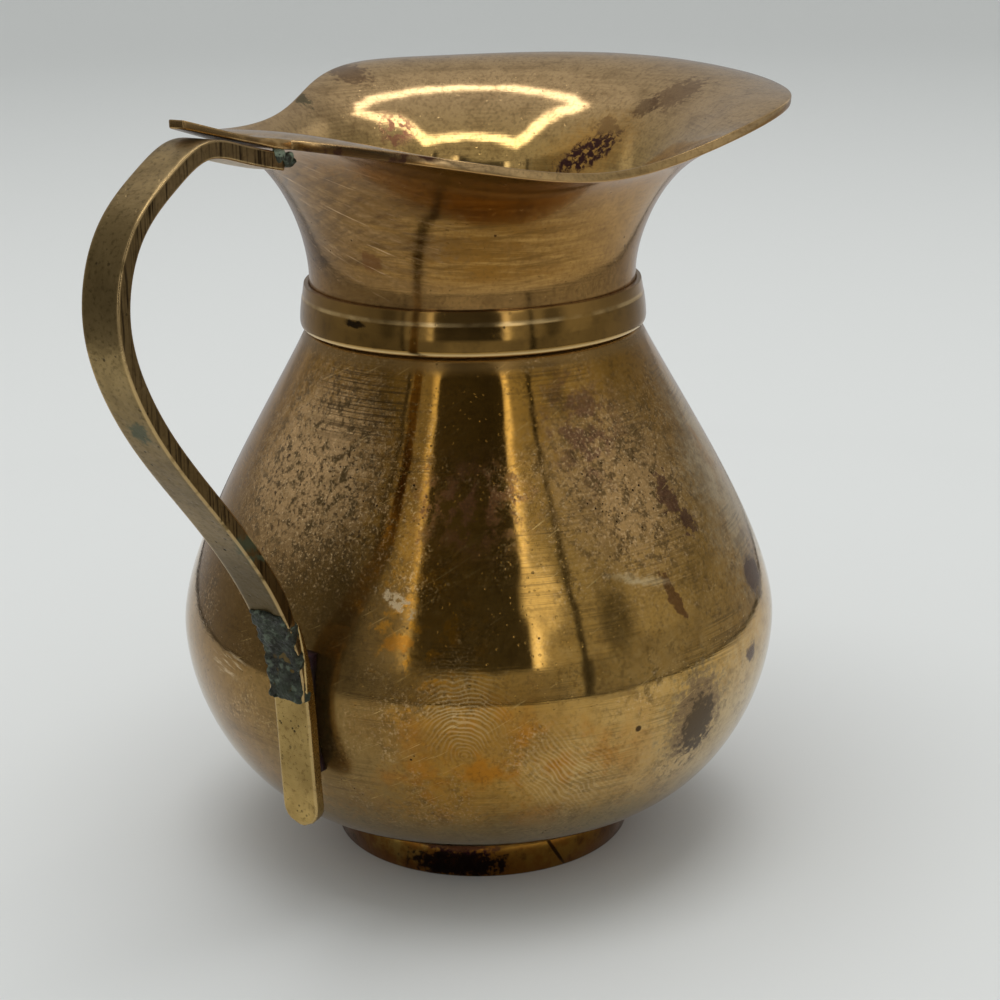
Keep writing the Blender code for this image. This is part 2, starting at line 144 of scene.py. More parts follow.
shoulder = bezier(MOUTH, (25.3 * MM, 58.5 * MM), (BELLY[0], 39.3 * MM), BELLY, 48)
underside = bezier(BELLY, (BELLY[0], 18.9 * MM), (30.0 * MM, BASE[1]), BASE, 40)
body_outside = np.vstack([shoulder, underside[1:]])
body_inside = offset_line(body_outside, -BODY_WALL)[::-1]
print(f"Body outline: {len(body_outside)} points, {2 * BELLY[0] / MM:.0f} mm across the belly")

# %% [markdown]
# The spin operator turns a line once round the axis, and `use_merge` joins the last
# position to the first. Points that lie on the axis come out many times, so doubles are
# merged, and then the normals are made to point outwards. The body's line starts and ends
# on the axis, which closes its base inside and outside.

# %% Turn the body
BODY_STEPS = 240


def turn(points, steps, closed):
    """Sweep a line of radius and height once round the upright axis."""
    form = bmesh.new()
    verts = [form.verts.new((r, 0, z)) for r, z in points]
    edges = [form.edges.new(pair) for pair in zip(verts, verts[1:])]
    if closed:
        edges.append(form.edges.new((verts[-1], verts[0])))
    bmesh.ops.spin(form, geom=verts + edges, cent=(0, 0, 0), axis=(0, 0, 1), dvec=(0, 0, 0),
                   angle=math.tau, steps=steps, use_merge=True, use_duplicate=False)
    bmesh.ops.remove_doubles(form, verts=form.verts, dist=0.001 * MM)
    bmesh.ops.recalc_face_normals(form, faces=form.faces)
    return form


middle_inside = (0.0, BASE[1] + BODY_WALL)
middle_under = (0.0, BASE[1])
form = turn([middle_inside, *body_inside, *body_outside, middle_under], BODY_STEPS, closed=False)
print(f"Turned body: {form.calc_volume() / MM ** 3 / 1000:.1f} cubic centimetres of brass")

# %% [markdown]
# A bmesh holds a mesh while it is being shaped. When a piece is done, it is moved onto the
# turning axis and put into an object that stays at the origin, so its object coordinates
# are the jug's own coordinates and one pattern can run over several pieces. Each vertex
# also stores how sharply the surface bends there, because hands and cloths wear edges bright;
# on the strap that brightness is partly a painted highlight.

# %% From a finished bmesh to a piece
def add_piece(name, form, node):
    """Put a bmesh into the scene as a piece that stands for one solid of the frame."""
    bmesh.ops.translate(form, vec=(AXIS_X, 0, 0), verts=form.verts)
    form.normal_update()
    bend = form.verts.layers.float.new("bend")
    for vert in form.verts:
        vert[bend] = max(edge.calc_face_angle(0.0) for edge in vert.link_edges)
    mesh = bpy.data.meshes.new(name)
    form.to_mesh(mesh)
    form.free()
    mesh.shade_smooth()
    piece = bpy.data.objects.new(name, mesh)
    bpy.context.collection.objects.link(piece)
    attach(piece, "root")
    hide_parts(node)
    print(f"{name}: {len(mesh.polygons)} faces")
    return piece


body = add_piece("jug_body", form, "body_shell")

# %% [markdown]
# ## The neck and its lip
#
# The neck began as a spun funnel. Its rim was then drawn out by hand to a pouring front, so
# the lip reaches further and climbs higher in some directions than in others. How far and
# how high was measured in eight directions on the near half, and the far half mirrors it. A
# cubic spline through those places gives every direction between, without kinks.

# %% Edge of the lip in any direction
# Direction in degrees from the front, then reach and height in millimetres.
LIP_STATIONS = (
    (0, 48.4, 95.6), (38, 43.2, 95.1), (58, 38.1, 94.7), (78, 30.4, 92.3),
    (105, 26.6, 90.5), (135, 30.6, 91.6), (160, 36.7, 94.0), (180, 40.0, 95.0),
)


def spline(knots, values, at):
    """Natural cubic spline through values at knots, read at the given places."""
    knots = np.asarray(knots, dtype=float)
    values = np.asarray(values, dtype=float)
    count = len(knots)
    step = np.diff(knots)
    matrix = np.eye(count)
    right = np.zeros(values.shape)
    for i in range(1, count - 1):
        matrix[i, i - 1:i + 2] = step[i - 1], 2 * (step[i - 1] + step[i]), step[i]
        right[i] = 6 * ((values[i + 1] - values[i]) / step[i]
                        - (values[i] - values[i - 1]) / step[i - 1])
    bend = np.linalg.solve(matrix, right)
    result = []
    for x in at:
        i = min(max(int(np.searchsorted(knots, x)) - 1, 0), count - 2)
        h = step[i]
        a, b = (knots[i + 1] - x) / h, (x - knots[i]) / h
        cubic = ((a ** 3 - a) * bend[i] + (b ** 3 - b) * bend[i + 1]) * h * h / 6
        result.append(a * values[i] + b * values[i + 1] + cubic)
    return np.array(result)


near_half = [(d, r * MM, z * MM) for d, r, z in LIP_STATIONS]
far_half = [(-d, r, z) for d, r, z in near_half[:0:-1]]
one_turn = far_half + near_half[:-1]
lip_ring = [(d + turned, r, z) for turned in (-360, 0, 360) for d, r, z in one_turn]
lip_ring = np.array([*lip_ring, (180 + 360, *near_half[-1][1:])])
print(f"Lip: {near_half[0][1] / MM:.1f} mm from the axis at the front, "
      f"{near_half[-1][1] / MM:.1f} mm at the back")

# %% [markdown]
# In each direction the neck's wall is one closed line. The inside climbs straight from the
# collar and then flares to the lip's edge on a Bezier curve, and the outside is the same
# curve shifted by the sheet's thickness. A short spigot reaches down into the body.

# %% Wall of the neck in one direction
NECK_WALL = 1.1 * MM
NECK_RADIUS = 20.3 * MM
BORE = NECK_RADIUS - NECK_WALL
NECK_FOOT = 67.6 * MM
FLARE_START = 73.9 * MM
SPIGOT_OUTSIDE, SPIGOT_INSIDE = 19.0 * MM, 18.1 * MM
SPIGOT_END = 63.5 * MM


def flare_inside(reach, height):
    """Inner line of the neck from where it is straight up to the lip's edge."""
    spread = reach - BORE
    rise = height - FLARE_START
    tilt = 1.6 * max(1 - spread / (30 * MM), 0) ** 2 - 0.26
    return bezier((BORE, FLARE_START), (BORE, FLARE_START + 0.26 * rise),
                  (BORE + 0.27 * spread, height - 0.73 * spread * tilt), (reach, height), 44)


def neck_line(reach, height):
    """Closed line round the neck's wall: up the outside, over the lip, down the inside."""
    inside = flare_inside(reach, height)
    outside = offset_line(inside, -NECK_WALL)
    straight = np.linspace(NECK_FOOT, FLARE_START, 6)[:-1]
    up = [(NECK_RADIUS, z) for z in straight]
    down = [(BORE, z) for z in straight[::-1]]
    spigot = [(SPIGOT_INSIDE, 67.0 * MM), (SPIGOT_INSIDE, SPIGOT_END),
              (SPIGOT_OUTSIDE, SPIGOT_END), (SPIGOT_OUTSIDE, NECK_FOOT)]
    return np.array([*up, *outside, *inside[::-1], *down, *spigot]), len(up) + len(outside) - 1


start_line, edge_row = neck_line(*near_half[0][1:])
print("Rows round the neck's wall:", len(start_line), "with the lip's edge after row", edge_row)

# %% [markdown]
# The neck is turned as a plain tube first, and each ring of points remembers its row. Then
# every point moves to where the line of its own direction puts it. The lip stands 1.6 mm
# higher on the far side than a mirrored one would.

# %% Shape the neck
NECK_STEPS = 288
LIP_ROLL = 1.6 * MM

form = bmesh.new()
row_layer = form.verts.layers.int.new("row")
verts = [form.verts.new((r, 0, z)) for r, z in start_line]
for i, vert in enumerate(verts):
    vert[row_layer] = i
edges = [form.edges.new((verts[i - 1], verts[i])) for i in range(len(verts))]
bmesh.ops.spin(form, geom=verts + edges, cent=(0, 0, 0), axis=(0, 0, 1), dvec=(0, 0, 0),
               angle=math.tau, steps=NECK_STEPS, use_merge=True, use_duplicate=False)
wall_lines = {}
for vert in form.verts:
    step = round(math.degrees(math.atan2(vert.co.y, vert.co.x)) * NECK_STEPS / 360)
    direction = step * 360 / NECK_STEPS
    angle = math.radians(direction)
    if step not in wall_lines:
        reach, height = spline(lip_ring[:, 0], lip_ring[:, 1:], [direction])[0]
        wall_lines[step] = neck_line(reach, height + LIP_ROLL * math.sin(angle))[0]
    radius, height = wall_lines[step][vert[row_layer]]
    vert.co = (radius * math.cos(angle), radius * math.sin(angle), height)
print(f"Neck: {len(wall_lines)} lines, lip up to {max(v.co.z for v in form.verts) / MM:.1f} mm")

# %% [markdown]
# At the back the rim was left longer, as a tab. It lies on the handle, and its far half is
# bent up and cut to a spur for the thumb. The tab is drawn out of the lip's edge faces, one
# extrusion at a time, and each new ring of points is placed by how far across and how deep
# it lies in the sheet.

# %% Draw out the tab
# Distance from the axis, height of the top, thickness, far side and near side.
TAB_STATIONS = np.array([
    (42.3, 95.35, 1.10, 3.2, -3.2), (44.5, 95.70, 0.80, 2.4, -2.4),
    (47.8, 96.40, 0.70, 2.4, -2.4), (50.7, 97.40, 0.825, 2.4, -1.0),
    (53.6, 98.40, 0.95, 2.4, 0.4),
]) * MM
TAB_ROOT_HALF = 2.8 * MM

across_layer = form.verts.layers.float.new("across")
depth_layer = form.verts.layers.float.new("depth")
end = [face for face in form.faces
       if {v[row_layer] for v in face.verts} == {edge_row, edge_row + 1}
       and face.calc_center_median().x < 0
       and abs(face.calc_center_median().y) < TAB_ROOT_HALF]
root_verts = {v for face in end for v in face.verts}
widest = max(v.co.y for v in root_verts)
for vert in root_verts:
    vert[across_layer] = vert.co.y / widest
    vert[depth_layer] = float(vert[row_layer] == edge_row)
distances = np.linspace(TAB_STATIONS[0, 0], TAB_STATIONS[-1, 0], 16)
others = [np.interp(distances, TAB_STATIONS[:, 0], column) for column in TAB_STATIONS.T[1:]]
for distance, top, thick, far, near in zip(distances, *others):
    drawn = bmesh.ops.extrude_face_region(form, geom=end)["geom"]
    bmesh.ops.delete(form, geom=end, context="FACES")
    end = [g for g in drawn if isinstance(g, bmesh.types.BMFace)]
    for vert in (g for g in drawn if isinstance(g, bmesh.types.BMVert)):
        share = (vert[across_layer] + 1) / 2
        vert.co = (-distance, near + share * (far - near), top - thick * vert[depth_layer])
bmesh.ops.recalc_face_normals(form, faces=form.faces)
print(f"Tab: drawn out to {distances[-1] / MM:.1f} mm in {len(distances)} steps")

# %% [markdown]
# Nobody leaves a sheet edge sharp where lips and fingers go. A narrow bevel rounds the lip
# and the tab, and it is what catches the bright line along the rim.

# %% Round the rim
RIM_ROUND = 0.2 * MM
RIM_LOWEST = 84 * MM

rim = [e for e in form.edges if e.is_manifold and e.calc_face_angle() > math.radians(48)
       and min(v.co.z for v in e.verts) > RIM_LOWEST]
bmesh.ops.bevel(form, geom=rim, offset=RIM_ROUND, offset_type="OFFSET", segments=3,
                profile=0.5, affect="EDGES", material=-1, clamp_overlap=True)
neck = add_piece("jug_neck", form, "neck_spout")

# %% [markdown]
# ## The collar
#
# A turned ring sits over the joint of body and neck. Its face swells a little, and above
# the face a narrow ledge slopes back to the neck. It could be a plain bevelled ring, but its
# bright and dark lines come from this exact profile, so the profile was measured.

# %% Collar
# Radius and height of the face in millimetres, from the ledge down to the lower edge.
COLLAR_OUTSIDE = (
    (20.62, 73.0), (20.9, 72.98), (21.0, 72.88), (21.13, 72.2), (21.23, 71.55), (21.3, 71.3),
    (21.36, 71.0), (21.44, 70.4), (21.52, 69.8), (21.57, 69.2), (21.6, 68.7), (21.6, 68.35),
    (21.56, 68.05), (21.46, 67.8), (21.3, 67.66), (21.1, 67.6),
)
COLLAR_BORE = 20.4 * MM
COLLAR_LOW, COLLAR_TOP = 67.6 * MM, 73.0 * MM

knots = np.arange(len(COLLAR_OUTSIDE))
face_line = spline(knots, COLLAR_OUTSIDE, np.linspace(0, knots[-1], 48)) * MM
form = turn([*face_line, (COLLAR_BORE, COLLAR_LOW), (COLLAR_BORE, COLLAR_TOP)], 240, closed=True)
collar = add_piece("jug_collar", form, "collar_ring")

# %% [markdown]
# ## The foot
#
# The foot is a strip of brass bent to a ring. It stands under the base and its edges are
# rubbed round from standing on tables.

# %% Foot ring
FOOT_TOP = 6.05 * MM
FOOT_OUTSIDE = [(19.50 * MM, FOOT_TOP), (19.35 * MM, 3.0 * MM), (19.2 * MM, 0.25 * MM),
                (19.0 * MM, 0.0)]
FOOT_INSIDE = [(17.8 * MM, 0.0), (17.6 * MM, 0.25 * MM), (17.9 * MM, FOOT_TOP)]

form = turn(FOOT_OUTSIDE + FOOT_INSIDE, 192, closed=True)
foot = add_piece("jug_foot", form, "foot_ring")

# %% [markdown]
# Solder runs in the corner inside the foot. It set as it flowed, with a hollow face that is
# a little uneven, so the turned fillet's points are moved by noise along their normals.

# %% Solder of the foot
form = turn([*bezier((17.6 * MM, 4.4 * MM), (17.3 * MM, 5.4 * MM), (17.0 * MM, 5.7 * MM),
                     (15.9 * MM, 6.0 * MM), 8), (17.7 * MM, 6.0 * MM)], 160, closed=True)
for vert in form.verts:
    vert.co += vert.normal * 0.12 * MM * noise.noise(vert.co / (1.7 * MM))
foot_solder = add_piece("foot_fillet", form, "foot_solder")

# %% [markdown]
# ## The handle
#
# The handle is a flat strap, 4.8 mm wide and 1.9 mm thick, bent by hand over a form. A bent
# strap has no simple curve, so a spline goes through places measured along its middle.

# %% Middle line of the handle
STRAP_WIDTH = 4.8 * MM
STRAP_THICKNESS = 1.9 * MM
TAIL_THICKNESS = 1.6 * MM
# Place along the jug and height, from the lip round the bow to the tip of the tail.
HANDLE_POINTS = np.array([
    (-40.6, 92.65), (-47.8, 94.45), (-53.2, 95.4), (-58.5, 93.3), (-64.8, 88.5), (-67.5, 80.5),
    (-65.3, 72.5), (-54.8, 58.2), (-44.5, 44.1), (-41.3, 36.3), (-40.5, 30.7), (-40.0, 22.0),
    (-39.5, 14.9),
]) * MM

legs = np.linalg.norm(np.diff(HANDLE_POINTS, axis=0), axis=1)
lengths = np.concatenate([[0], np.cumsum(legs)])
handle_line = spline(lengths, HANDLE_POINTS, np.linspace(0, lengths[-1], 190))
outward = offset_line(handle_line, -1.0) - handle_line
heights = handle_line[:, 1]
half_width = np.full(len(handle_line), STRAP_WIDTH / 2)
print(f"Handle, along its middle line: {lengths[-1] / MM:.0f} mm")

# %% [markdown]
# A bar is made by extruding one end face along the middle line, and each new end is placed
# by the line's own direction there, so the bar can thin and narrow on its way. Its long
# edges are then bevelled, and its flat faces are divided across, because the wear of the
# edges is stored in vertices and needs some that lie away from them.

# %% Sweep a bar along a line
def sweep(line, normals, outer, inner, half):
    """Bar along a line in the XZ plane, with its own face offsets and width at each row."""
    form = bmesh.new()
    corner_layer = form.verts.layers.int.new("corner")
    ring = bmesh.ops.create_grid(form, x_segments=1, y_segments=1, size=1)["verts"]
    ring.sort(key=lambda v: math.atan2(v.co.y, v.co.x))
    for i, vert in enumerate(ring):
        vert[corner_layer] = i
    end = list(form.faces)
    for row, (point, normal) in enumerate(zip(line, normals)):
        if row:
            drawn = bmesh.ops.extrude_face_region(form, geom=end)["geom"]
            if row > 1:
                bmesh.ops.delete(form, geom=end, context="FACES_ONLY")
            end = [g for g in drawn if isinstance(g, bmesh.types.BMFace)]
        for vert in end[0].verts:
            side = half[row] * (1 if vert[corner_layer] in (0, 3) else -1)
            shift = outer[row] if vert[corner_layer] in (0, 1) else inner[row]
            x, z = point + shift * normal
            vert.co = (x, side, z)
    bmesh.ops.recalc_face_normals(form, faces=form.faces)
    return form


def round_long_edges(form, width, segments):
    """Bevel the sharp edges of a bar and divide its flat faces across."""
    sharp = [e for e in form.edges if e.is_manifold and e.calc_face_angle() > math.radians(45)]
    bmesh.ops.bevel(form, geom=sharp, offset=width, offset_type="OFFSET", segments=segments,
                    profile=0.5, affect="EDGES", material=-1, clamp_overlap=True)
    wide = [e for e in form.edges if e.calc_length() > 1.0 * MM]
    bmesh.ops.subdivide_edges(form, edges=wide, cuts=8, use_grid_fill=True)


bar_ends = [np.round(handle_line[i] / MM, 1).tolist() for i in (0, -1)]
print("Bars run between these places, in millimetres:", *bar_ends)

# %% [markdown]
# Down at the belly the strap thins to a tip that lies over a second, shorter strip, the
# tail, and the two are brazed together, as in a scarf joint between two boards. One slanting
# line is the strap's inner face there, and a little under it lies the tail's outer face.

# %% Strap
SCARF_TOP, SCARF_END = 45.0 * MM, 31.3 * MM
THINNEST = 0.45 * MM

inner_face = -STRAP_THICKNESS / 2
share = np.clip((SCARF_TOP - heights) / (SCARF_TOP - SCARF_END), 0, 1)
scarf = inner_face + share * (TAIL_THICKNESS + 0.3 * MM)
strap_outer = np.maximum(STRAP_THICKNESS / 2, scarf + THINNEST)
keep = heights > SCARF_END
form = sweep(handle_line[keep], outward[keep], strap_outer[keep], scarf[keep], half_width[keep])
round_long_edges(form, 0.24 * MM, 3)
strap = add_piece("handle_bow", form, "handle_strap")

# %% [markdown]
# The tail starts where the scarf leaves it room and ends in a half-round tip, which comes
# from making the last rows narrower as a circle does.

# %% Tail
tail_outer = np.minimum(scarf - 0.1 * MM, inner_face + TAIL_THICKNESS)
keep = tail_outer > inner_face + THINNEST
tip_radius = STRAP_WIDTH / 2
to_tip = np.clip((heights[keep] - heights[-1]) / tip_radius, 0, 1)
tail_half = tip_radius * np.sqrt(np.clip(1 - (1 - to_tip) ** 2, 0.02, 1))
tail_inner = np.full(keep.sum(), inner_face)
form = sweep(handle_line[keep], outward[keep], tail_outer[keep], tail_inner, tail_half)
round_long_edges(form, 0.3 * MM, 3)
tail = add_piece("handle_end", form, "handle_tail")

# %% [markdown]
# ## Braze and solder
#
# The joints were made with far more filler than they needed, and it stayed as rough crusts
# that have gone green and grey. The crust over the scarf is a thin bar with a fine mesh,
# whose points are pushed in and out by noise, first in lumps and then in grains.

# %% Crust over the scarf
CRUST_LOW, CRUST_TOP = 31.0 * MM, 44.0 * MM


def roughen(form, depth, grain, seed):
    """Push the points of a fine mesh in and out by noise of one grain size."""
    form.normal_update()
    moves = {v: v.normal * depth * noise.noise(v.co / grain + Vector((seed, 0, 0)))
             for v in form.verts}
    for vert, move in moves.items():
        vert.co += move


keep = (heights > CRUST_LOW) & (heights < CRUST_TOP)
skin = strap_outer[keep] + 0.05 * MM
form = sweep(handle_line[keep], outward[keep], skin + 0.25 * MM, skin - 1.5 * MM,
             half_width[keep] - 0.1 * MM)
round_long_edges(form, 0.3 * MM, 2)
bmesh.ops.subdivide_edges(form, edges=form.edges, cuts=3, use_grid_fill=True)
roughen(form, 0.55 * MM, 2.1 * MM, 3)
roughen(form, 0.2 * MM, 0.6 * MM, 5)
lap_crust = add_piece("lap_crust", form, "lap_braze")

# %% [markdown]
# Solder fills the narrow space between the tail and the belly. It is a bar whose outer face
# follows the tail and whose inner face follows the body's outline at each height.

# %% Solder between tail and belly
FILL_LOW, FILL_TOP = 20.5 * MM, 35.5 * MM

rising = body_outside[np.argsort(body_outside[:, 1])]
keep = (heights > FILL_LOW) & (heights < FILL_TOP)
tail_back = (handle_line + outward * (inner_face - 0.05 * MM))[keep]
body_face = -np.interp(tail_back[:, 1], rising[:, 1], rising[:, 0]) - 0.02 * MM
sideways = np.tile((1.0, 0.0), (len(tail_back), 1))
form = sweep(tail_back, sideways, np.zeros(len(tail_back)), body_face - tail_back[:, 0],
             half_width[keep] - 1.3 * MM)
bmesh.ops.subdivide_edges(form, edges=form.edges, cuts=2, use_grid_fill=True)
roughen(form, 0.3 * MM, 1.3 * MM, 7)
tail_fill = add_piece("tail_fill", form, "tail_solder")

# %% [markdown]
# Under the lip the braze stands out beside the strap in two lumps, with a bead between
# strap and lip. Balls that overlap give such lumps, and noise takes their roundness away.

# %% Braze under the lip
# Middle and size of each lump in millimetres.
BRAZE_LUMPS = (
    ((-39.3, 0, 92.5), (1.9, 5.8, 1.4)), ((-41.6, -2.3, 93.7), (1.7, 1.0, 2.2)),
    ((-40.2, -2.3, 92.9), (1.9, 1.1, 1.5)),
)

form = bmesh.new()
for middle, size in BRAZE_LUMPS:
    lump = bmesh.ops.create_icosphere(form, subdivisions=4, radius=0.5)["verts"]
    bmesh.ops.scale(form, vec=Vector(size) * MM, verts=lump)
    bmesh.ops.translate(form, vec=Vector(middle) * MM, verts=lump)
roughen(form, 0.22 * MM, 0.8 * MM, 11)
rim_crust = add_piece("rim_crust", form, "rim_braze")

# %% [markdown]
# ## Materials
#
# A metal shows its surroundings, tinted by its own colour. For polished brass that tint is
# a warm yellow. Everything else is what happened to the surface: the spinning tool's fine
# rings, a brown film of tarnish, black specks, scratches and fingerprints. Each of those
# changes the tint, the roughness or the bump.
#
# Colours are written as sRGB hex values, as a painter would pick them, and turned to the
# linear numbers that the shader needs. One small function adds any node.

# %% Colour and node helpers
def linear(hex_colour):
    """Turn an sRGB hex colour into linear RGBA."""
    channels = [int(hex_colour[i:i + 2], 16) / 255 for i in (1, 3, 5)]
    return (*(c / 12.92 if c <= 0.04045 else ((c + 0.055) / 1.055) ** 2.4 for c in channels), 1.0)


def add_node(tree, kind, inputs=None, stops=None, **settings):
    """Add a node, apply its settings, and set or link its inputs by name or number."""
    made = tree.nodes.new(kind)
    for key, value in settings.items():
        setattr(made, key, value)
    for socket, value in (inputs or {}).items():
        if isinstance(value, bpy.types.NodeSocket):
            tree.links.new(value, made.inputs[socket])
        else:
            made.inputs[socket].default_value = value
    if stops:
        ramp = made.color_ramp
        while len(ramp.elements) < len(stops):
            ramp.elements.new(0.5)
        for element, (position, colour) in zip(ramp.elements, stops):
            element.position = position
            element.color = colour
    return made


BRASS = "#B08338"
print("Polished brass in linear light:", [round(c, 3) for c in linear(BRASS)[:3]])

# %% [markdown]
# ## Spun brass of the body
#
# Cartridge brass, spun and polished, then left to tarnish. A polished metal has a roughness
# near 0.03, so it mirrors the room sharply, and its tint is a deep gold that decades of air
# have browned. The film is thickest on the side toward the handle, where no cloth went, and
# thin and pale on the pouring side.
#
# A finish could be one picture wrapped round the jug. Here it is built up in layers, as it
# came about. It starts as bare brass, with the coordinates that all its patterns read: the
# jug's own, centred on the axis, and a second, warped copy that gives stains their ragged
# edges. A fine noise, the fray, eats into those edges as well.

# %% Bare metal and its coordinates
WARP_CELL, WARP_REACH = 3.2 * MM, 2.8 * MM
FRAY_CELL = 0.9 * MM


def start_finish(name, tint, rough, metal=1.0):
    """New metal with the coordinates that its masks use."""
    material = bpy.data.materials.new(name)
    material.use_nodes = True
    tree = material.node_tree
    place = add_node(tree, "ShaderNodeTexCoord").outputs["Object"]
    centred = add_node(tree, "ShaderNodeMapping",
                       {"Vector": place, "Location": (-AXIS_X, 0, 0)}).outputs[0]
    stir = add_node(tree, "ShaderNodeTexNoise",
                    {"Vector": centred, "Scale": 1 / WARP_CELL, "Detail": 5.0, "Roughness": 0.62})
    push = add_node(tree, "ShaderNodeVectorMath", {0: stir.outputs["Color"], 1: (0.5, 0.5, 0.5)},
                    operation="SUBTRACT")
    warped = add_node(tree, "ShaderNodeVectorMath",
                      {0: push.outputs[0], 1: (WARP_REACH,) * 3, 2: centred},
                      operation="MULTIPLY_ADD")
    frays = add_node(tree, "ShaderNodeTexNoise",
                     {"Vector": centred, "Scale": 1 / FRAY_CELL, "Detail": 7.0, "Roughness": 0.7})
    fray = add_node(tree, "ShaderNodeMath", {0: frays.outputs[0], 1: 0.5}, operation="SUBTRACT")
    return {"material": material, "tree": tree, "place": centred, "warped": warped.outputs[0],
            "fray": fray.outputs[0], "Base Color": linear(tint), "Roughness": rough,
            "Metallic": metal}


finish = start_finish("spun_brass_tarnished", BRASS, 0.035, metal=0.98)
print(finish["material"].name, "starts with", len(finish["tree"].nodes), "nodes")

# %% [markdown]
# A layer mixes its own tint, roughness or metallic value over what is there, where its mask
# is white. What no layer changes stays a plain number, and is set on the shader itself.
#
# The first kind of mask is a cloud: noise that fades in between two of its levels. The size
# of its cells is a real one, in millimetres, as are all sizes in the masks below. A shift
# reads the noise elsewhere, so that two clouds of like size don't fall on the same spots.
# The first film of tarnish is a cloud with cells of 16 mm.

# %% Layers and clouds
def lay(finish, mask, tint=None, rough=None, metal=None):
    """Mix a layer over the finish where the mask is white."""
    tree = finish["tree"]
    if tint:
        finish["Base Color"] = add_node(
            tree, "ShaderNodeMix", {0: mask, 6: finish["Base Color"], 7: linear(tint)},
            data_type="RGBA").outputs[2]
    for socket, value in (("Roughness", rough), ("Metallic", metal)):
        if value is not None:
            finish[socket] = add_node(tree, "ShaderNodeMix",
                                      {0: mask, 2: finish[socket], 3: value}).outputs[0]


def cloud(finish, cell, low, high, detail=4.0, strength=1.0, shift=0.0):
    """Noise with cells of a real size, faded in between two levels, read at a shift."""
    tree = finish["tree"]
    moved = add_node(tree, "ShaderNodeMapping", {
        "Vector": finish["place"], "Location": (shift, 2 * shift, -shift)})
    grain = add_node(tree, "ShaderNodeTexNoise", {
        "Vector": moved.outputs[0], "Scale": 1 / (cell * MM), "Detail": detail, "Roughness": 0.6})
    return add_node(tree, "ShaderNodeMapRange", {
        "Value": grain.outputs[0], "From Min": low, "From Max": high, "To Max": strength},
        interpolation_type="SMOOTHSTEP").outputs[0]


lay(finish, cloud(finish, 16, 0.4, 0.7, detail=6, strength=0.5), tint="#8C6428", rough=0.06)
print("First film laid on", finish["material"].name)

# %% [markdown]
# The second kind is a stain, a ragged ellipse on the surface. Its middle is given by its
# direction round the axis, its distance from the axis and its height, and then come its
# width and how tall it is. On the body the distance follows from the height. Large soft
# stains make the broad films, one over the other, in the order of the table. One row, low on
# the front of the belly, is painted shade: it darkens the floor that the belly mirrors there.

# %% Broad films and a painted shade on the body
# Half of how deep a stain reaches, so that a curved surface doesn't leave it.
STAIN_DEPTH = 8


def stain(finish, direction, radius, height, width, tall, lean=0, soft=0.3, strength=1.0,
          frayed=1.6, ragged=True):
    """Ragged ellipse on the surface, with its middle at a direction, a radius and a height."""
    tree = finish["tree"]
    angle = math.radians(direction)
    middle = (radius * MM * math.cos(angle), radius * MM * math.sin(angle), height * MM)
    flat = add_node(tree, "ShaderNodeMapping", {
        "Vector": finish["warped" if ragged else "place"], "Location": middle,
        "Rotation": (math.radians(lean), 0, angle),
        "Scale": (STAIN_DEPTH * MM, width * MM / 2, tall * MM / 2)}, vector_type="TEXTURE")
    out = add_node(tree, "ShaderNodeVectorMath", {0: flat.outputs[0]}, operation="LENGTH")
    torn = add_node(tree, "ShaderNodeMath", {0: finish["fray"], 1: frayed, 2: out.outputs["Value"]},
                    operation="MULTIPLY_ADD")
    return add_node(tree, "ShaderNodeMapRange", {
        "Value": torn.outputs[0], "From Min": 1 + soft, "From Max": 1 - soft,
        "To Max": strength}, interpolation_type="SMOOTHSTEP").outputs[0]


def radius_at(height):
    """Outer radius of the body at a height, both in millimetres."""
    return float(np.interp(height, rising[:, 1] / MM, rising[:, 0] / MM))


def body_stain(finish, direction, height, width, tall, **settings):
    """Stain on the outside of the body."""
    return stain(finish, direction, radius_at(height), height, width, tall, **settings)


# Direction, height, width, tall, softness, strength, tint, roughness, metallic.
BROAD_FILMS_AND_SHADE = (
    (-112, 45, 46, 80, 0.7, 0.85, "#BE964E", 0.06, 0.95),
    (161, 40, 36, 80, 0.6, 0.85, "#957749", 0.1, 0.9),
    (-179, 44, 15, 11, 0.6, 0.6, "#6E5426", 0.08, None),
    (-104, 20, 44, 28, 0.7, 0.7, "#C6A468", 0.08, 0.9),
    (167, 54, 18, 27, 0.5, 0.9, "#E2B880", 0.3, 0.62),
    (-111, 53, 18, 20, 0.6, 0.7, "#CDA570", 0.22, 0.82),
    (-176, 29, 22, 42, 0.5, 0.9, "#8F7444", 0.27, 0.88),
    # Painted shade: darkens the mirrored floor low on the front of the belly.
    (-150, 28, 22, 9, 0.6, 0.6, "#8A6024", 0.05, None),
    (-150, 10, 64, 10, 0.6, 0.6, "#8E7F52", 0.12, 0.85),
    (168, 40, 44, 26, 0.6, 0.45, "#6B4A12", 0.09, None),
)
for direction, height, width, tall, soft, strength, tint, rough, metal in BROAD_FILMS_AND_SHADE:
    film = body_stain(finish, direction, height, width, tall, soft=soft, strength=strength)
    lay(finish, film, tint, rough, metal)
print("Broad films on the body:", len(BROAD_FILMS_AND_SHADE))

# %% [markdown]
# Most films aren't even. Two masks multiplied leave only what is in both, so a stain times a
# cloud is a patchy stain, and the larger of two masks keeps what is in either. The far side
# has a pale, greasy film, and the underside is painted paler, as a painted reflection of the
# light from the table.

# %% Patchy films and painted light on the body
def combine(finish, *masks, operation="MULTIPLY"):
    """One mask out of several: white where all are, or where any is with MAXIMUM."""
    result = masks[0]
    for mask in masks[1:]:
        result = add_node(finish["tree"], "ShaderNodeMath", {0: result, 1: mask},
                          operation=operation, use_clamp=True).outputs[0]
    return result


